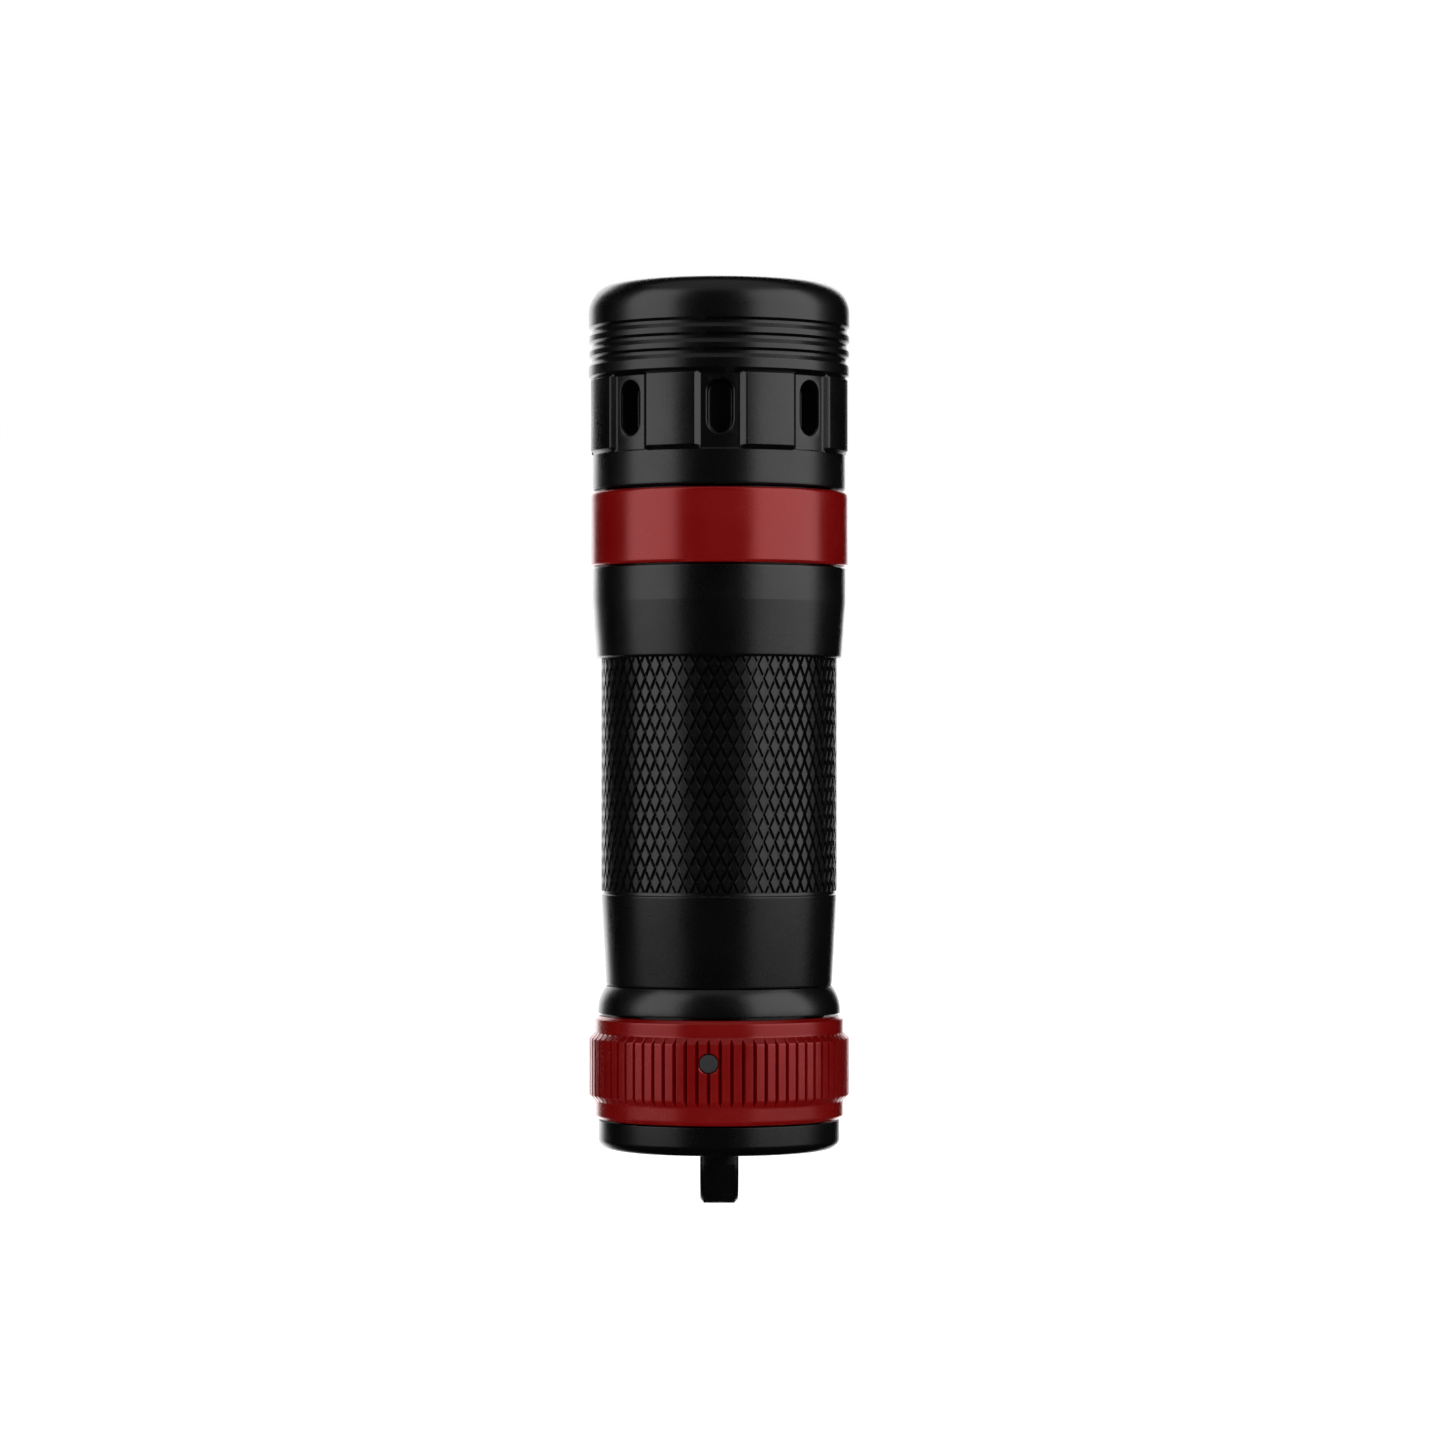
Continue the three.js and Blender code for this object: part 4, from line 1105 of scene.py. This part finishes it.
def anodised(name, colour, edge_wear_and_highlight_colour, roughness, metallic, specular):
    """Dyed aluminium: a fine even grain, faint turning marks, soft mottling, and lighter convex edges that
    are partly rubbed wear and partly a painted highlight.
    """
    look = Look(name)
    grain = look.noise(0.07, detail=3)
    mottle = look.noise(6, detail=4)
    rings = look.noise(0.5, detail=3, stretch=(0.02, 0.02, 4))
    specks = look.remap(look.noise(0.22, detail=4, roughness=0.7), 0, 1, 0.66, 0.78)
    # Lighter colour on convex edges, found from pointiness: partly rubbed wear, partly a painted highlight
    # along the edges.
    edge_wear_and_highlight = look.times(look.edges(0.52, 0.6), look.remap(look.noise(1.3, detail=5), 0, 1, 0.35, 0.7))
    base = look.between(mottle, toned(colour, 0.85), toned(colour, 1.15))
    base = look.between(look.remap(specks, 0, 0.3), base, toned(colour, 1.9))
    base = look.between(look.remap(edge_wear_and_highlight, 0, 0.55), base, edge_wear_and_highlight_colour)
    rough = look.remap(look.times(grain, mottle), roughness - 0.05, roughness + 0.09, 0.1, 0.5)
    look.relief(rings, 0.0015, 0.5)
    look.relief(grain, 0.006, 0.55)
    look.done(base, rough, Metallic=metallic, Specular_IOR_Level=specular)


def turned_metal(name, colour, roughness):
    """Bare turned metal with tool marks round it and a slight tarnish."""
    look = Look(name)
    tarnish = look.noise(2.5, detail=5)
    marks = look.noise(0.27, detail=4, stretch=(0.05, 0.05, 2))
    base = look.between(tarnish, toned(colour, 0.75), colour)
    rough = look.remap(tarnish, roughness - 0.06, roughness + 0.14, 0.3, 0.7)
    look.relief(marks, 0.006, 0.6)
    look.done(base, rough, Metallic=1.0)


def moulded(name, colour, roughness, grain=0.12, depth=0.008, **fixed):
    """Plastic or rubber: a fine moulded grain with a little variation in tone and gloss."""
    look = Look(name)
    fine = look.noise(grain, detail=4)
    broad = look.noise(3, detail=3)
    base = look.between(broad, toned(colour, 0.82), toned(colour, 1.12))
    rough = look.remap(fine, roughness - 0.08, min(1, roughness + 0.1), 0.3, 0.7)
    look.relief(fine, depth, 0.6)
    look.done(base, rough, **fixed)


def mirror(name):
    """A coated reflector, with a faint ripple and haze."""
    look = Look(name)
    ripple = look.noise(0.9, detail=2)
    haze = look.noise(4, detail=4)
    look.relief(ripple, 0.012, 0.35)
    base = look.between(haze, (0.82, 0.82, 0.83), (0.93, 0.93, 0.94))
    look.done(base, look.remap(haze, 0.03, 0.1, 0.3, 0.7), Metallic=1.0)


def clear(name, ior, roughness, tint):
    """Glass or clear silicone, with faint smears on it."""
    look = Look(name)
    smear = look.noise(5, detail=5, stretch=(1, 2.5, 1))
    rough = look.remap(smear, roughness, roughness + 0.03, 0.45, 0.75)
    look.done(tint, rough, Transmission_Weight=1.0, IOR=ior)


def circuit(name, mask, metal, spacing):
    """A board under a coloured mask, with traces under it that stand slightly proud."""
    look = Look(name)
    trace = look.remap(look.cells(spacing, "DISTANCE_TO_EDGE"), 0, 1, 0.06, 0.09)
    weave = look.noise(0.25, detail=3)
    base = look.between(trace, metal, mask)
    base = look.between(look.remap(weave, 0, 0.25), base, toned(mask, 0.6))
    look.relief(trace, 0.02, 0.5)
    look.done(base, look.remap(weave, 0.28, 0.45), Coat_Weight=0.3)


def grains(name, colour, dark, size):
    """Phosphor: packed translucent grains."""
    look = Look(name)
    cell = look.cells(size)
    base = look.between(look.remap(cell, 0, 1, 0.1, 0.8), colour, dark)
    look.relief(cell, 0.02, 0.8)
    look.done(base, 0.6, Subsurface_Weight=0.15, Subsurface_Scale=0.0004)


def layered(name, colour, dark):
    """A wound electrode roll: its layers show as fine rings on its ends."""
    look = Look(name)
    wound = look.hoops(0.25, wobble=0.4)
    dust = look.noise(0.4, detail=4)
    base = look.between(wound, dark, colour)
    base = look.between(look.remap(dust, 0, 0.3), base, dark)
    look.relief(wound, 0.04, 0.8)
    look.done(base, look.remap(dust, 0.5, 0.75), Metallic=0.3)


def pin_steel(name):
    """The index pin: dark steel with a light grain."""
    look = Look(name)
    marks = look.noise(0.12, detail=4)
    broad = look.noise(0.9, detail=3)
    base = look.between(broad, (0.022, 0.0225, 0.024), (0.034, 0.0345, 0.037))
    look.relief(marks, 0.004, 0.6)
    look.done(base, look.remap(marks, 0.36, 0.52, 0.3, 0.7), Metallic=0.35, Specular_IOR_Level=0.5)


# The third colour of each finish is its lighter edge colour: partly rubbed wear, partly a painted
# highlight.
anodised("black_anodised", (0.0006, 0.0006, 0.0007), (0.006, 0.006, 0.0064), 0.285, 0.0, 0.5)
anodised("red_anodised", (0.178, 0.0003, 0.0004), (0.25, 0.012, 0.013), 0.23, 0.38, 0.6)
pin_steel("index_pin")
turned_metal("brass", (0.72, 0.48, 0.18), 0.3)
turned_metal("steel", (0.56, 0.56, 0.57), 0.28)
mirror("reflector")
moulded("rubber", (0.012, 0.012, 0.012), 0.62, grain=0.15, depth=0.012)
moulded("white_plastic", (0.78, 0.77, 0.72), 0.45, Subsurface_Weight=0.1, Subsurface_Scale=0.0005)
moulded("dark_plastic", (0.016, 0.016, 0.018), 0.5)
circuit("circuit_board", (0.012, 0.075, 0.035), (0.03, 0.16, 0.06), 1.1)
circuit("led_board", (0.8, 0.8, 0.77), (0.7, 0.68, 0.62), 1.6)
grains("phosphor", (0.85, 0.62, 0.05), (0.7, 0.42, 0.02), 0.06)
moulded("cell_wrap", (0.018, 0.045, 0.16), 0.32, grain=0.6, depth=0.01, Coat_Weight=0.3)
layered("electrode", (0.3, 0.3, 0.31), (0.06, 0.06, 0.065))
moulded("lead_red", (0.5, 0.012, 0.012), 0.42)
moulded("lead_black", (0.012, 0.012, 0.013), 0.45)
clear("glass", 1.5, 0.0, (1.0, 1.0, 1.0))
clear("silicone_dome", 1.42, 0.02, (1.0, 0.995, 0.97))

for piece in [o for o in bpy.data.objects if "sharp" in o]:
    shade(piece, MATERIALS[piece["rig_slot"]])
led_base.data.materials.clear()
led_base.data.materials.append(MATERIALS["white_plastic"])
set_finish(led_base, "white_plastic")

for name, node in frame["nodes"].items():
    if not node.hide_render:
        node.data.materials.clear()
        node.data.materials.append(MATERIALS[SLOTS[name]])


# ---- stage, light and camera ----

# All lengths from here on are metres.
ROOM_RADIUS = 1.5
ROOM_SIDES, ROOM_ROWS = 96, 12
FLOOR_GAP = 0.0045  # more than the tail backs out, so that the lug stays clear of the floor


def flat_material(name, colour, glow):
    material = bpy.data.materials.new(name)
    material.use_nodes = True
    shader = material.node_tree.nodes["Principled BSDF"]
    shader.inputs["Base Color"].default_value = (*colour, 1)
    shader.inputs["Roughness"].default_value = 0.9
    shader.inputs["Specular IOR Level"].default_value = 0.1
    shader.inputs["Emission Color"].default_value = (1, 1, 1, 1)
    shader.inputs["Emission Strength"].default_value = glow
    return material


def stage_piece(name, vertices, faces, material):
    mesh = bpy.data.meshes.new(name)
    mesh.from_pydata(vertices, [], faces)
    mesh.materials.append(material)
    mesh.shade_smooth()
    piece = bpy.data.objects.new(name, mesh)
    bpy.context.scene.collection.objects.link(piece)
    piece.visible_glossy = False
    piece.visible_shadow = False
    return piece


around = [FRONT + TURN * k / ROOM_SIDES for k in range(ROOM_SIDES)]
floor_height = cad_box[0].z - FLOOR_GAP
floor_edge = [at(angle, ROOM_RADIUS, floor_height) for angle in around]
floor_look = flat_material("pale_floor", (0.3, 0.3, 0.3), 1.05)
stage_piece("floor", floor_edge, [tuple(range(ROOM_SIDES))], floor_look)
room_rings = [floor_edge]
for k in range(1, ROOM_ROWS + 1):
    tilt = TURN / 4 * k / ROOM_ROWS
    distance = ROOM_RADIUS * max(math.cos(tilt), 0.001)
    height = floor_height + ROOM_RADIUS * math.sin(tilt)
    room_rings.append([at(angle, distance, height) for angle in around])
room_look = flat_material("white_backdrop", (0.0, 0.0, 0.0), 1.0)
room = stage_piece("backdrop", *loft(room_rings, closed=False), room_look)
room.visible_diffuse = False


def softbox(name, azimuth, distance, width, height, middle, radiance):
    """An upright soft panel that faces the Z axis. azimuth 0 is in front, at -Y, and 90 is at +X."""
    light = bpy.data.lights.new(name, "AREA")
    light.shape = "RECTANGLE"
    light.size, light.size_y = width, height
    light.energy = radiance * math.pi * width * height
    panel = bpy.data.objects.new(name, light)
    angle = math.radians(azimuth)
    panel.location = (distance * math.sin(angle), -distance * math.cos(angle), middle)
    panel.rotation_euler = (TURN / 4, 0, angle)
    panel.visible_camera = False
    bpy.context.scene.collection.objects.link(panel)
    return panel


softbox("left_softbox", -63.5, 0.55, 0.51, 0.8, 0.39, 1.85)
softbox("right_softbox", 63.5, 0.55, 0.74, 0.8, 0.39, 1.95)
softbox("back_panel", -174, 0.6, 0.6, 0.7, 0.1, 2.6)
fill = softbox("front_fill", 0, 0.8, 0.6, 0.6, 0.1, 2.6)
fill.visible_glossy = False
ceiling = softbox("ceiling", 0, 0.15, 0.9, 0.7, 0.75, 0.36)
ceiling.rotation_euler = (0, 0, 0)

world = bpy.data.worlds.new("studio")
bpy.context.scene.world = world
world.use_nodes = True
background = world.node_tree.nodes["Background"]
background.inputs["Color"].default_value = (1, 1, 1, 1)
background.inputs["Strength"].default_value = 0.008
bpy.context.scene.view_settings.view_transform = "Standard"

CAMERA_DISTANCE = 0.47
CAMERA_HEIGHT = 0.04207
CAMERA_TURN = math.radians(-0.55)
camera_data = bpy.data.cameras.new("camera")
camera_data.lens = 120.2
camera_data.sensor_width = 36
camera_data.shift_x = 0.00239
camera_data.shift_y = 0.0336
camera_data.clip_start = 0.01
camera_data.clip_end = 10
camera = bpy.data.objects.new("camera", camera_data)
camera.location = at(FRONT + CAMERA_TURN, CAMERA_DISTANCE, CAMERA_HEIGHT)
camera.rotation_euler = (TURN / 4, 0, CAMERA_TURN)
bpy.context.scene.collection.objects.link(camera)
bpy.context.scene.camera = camera
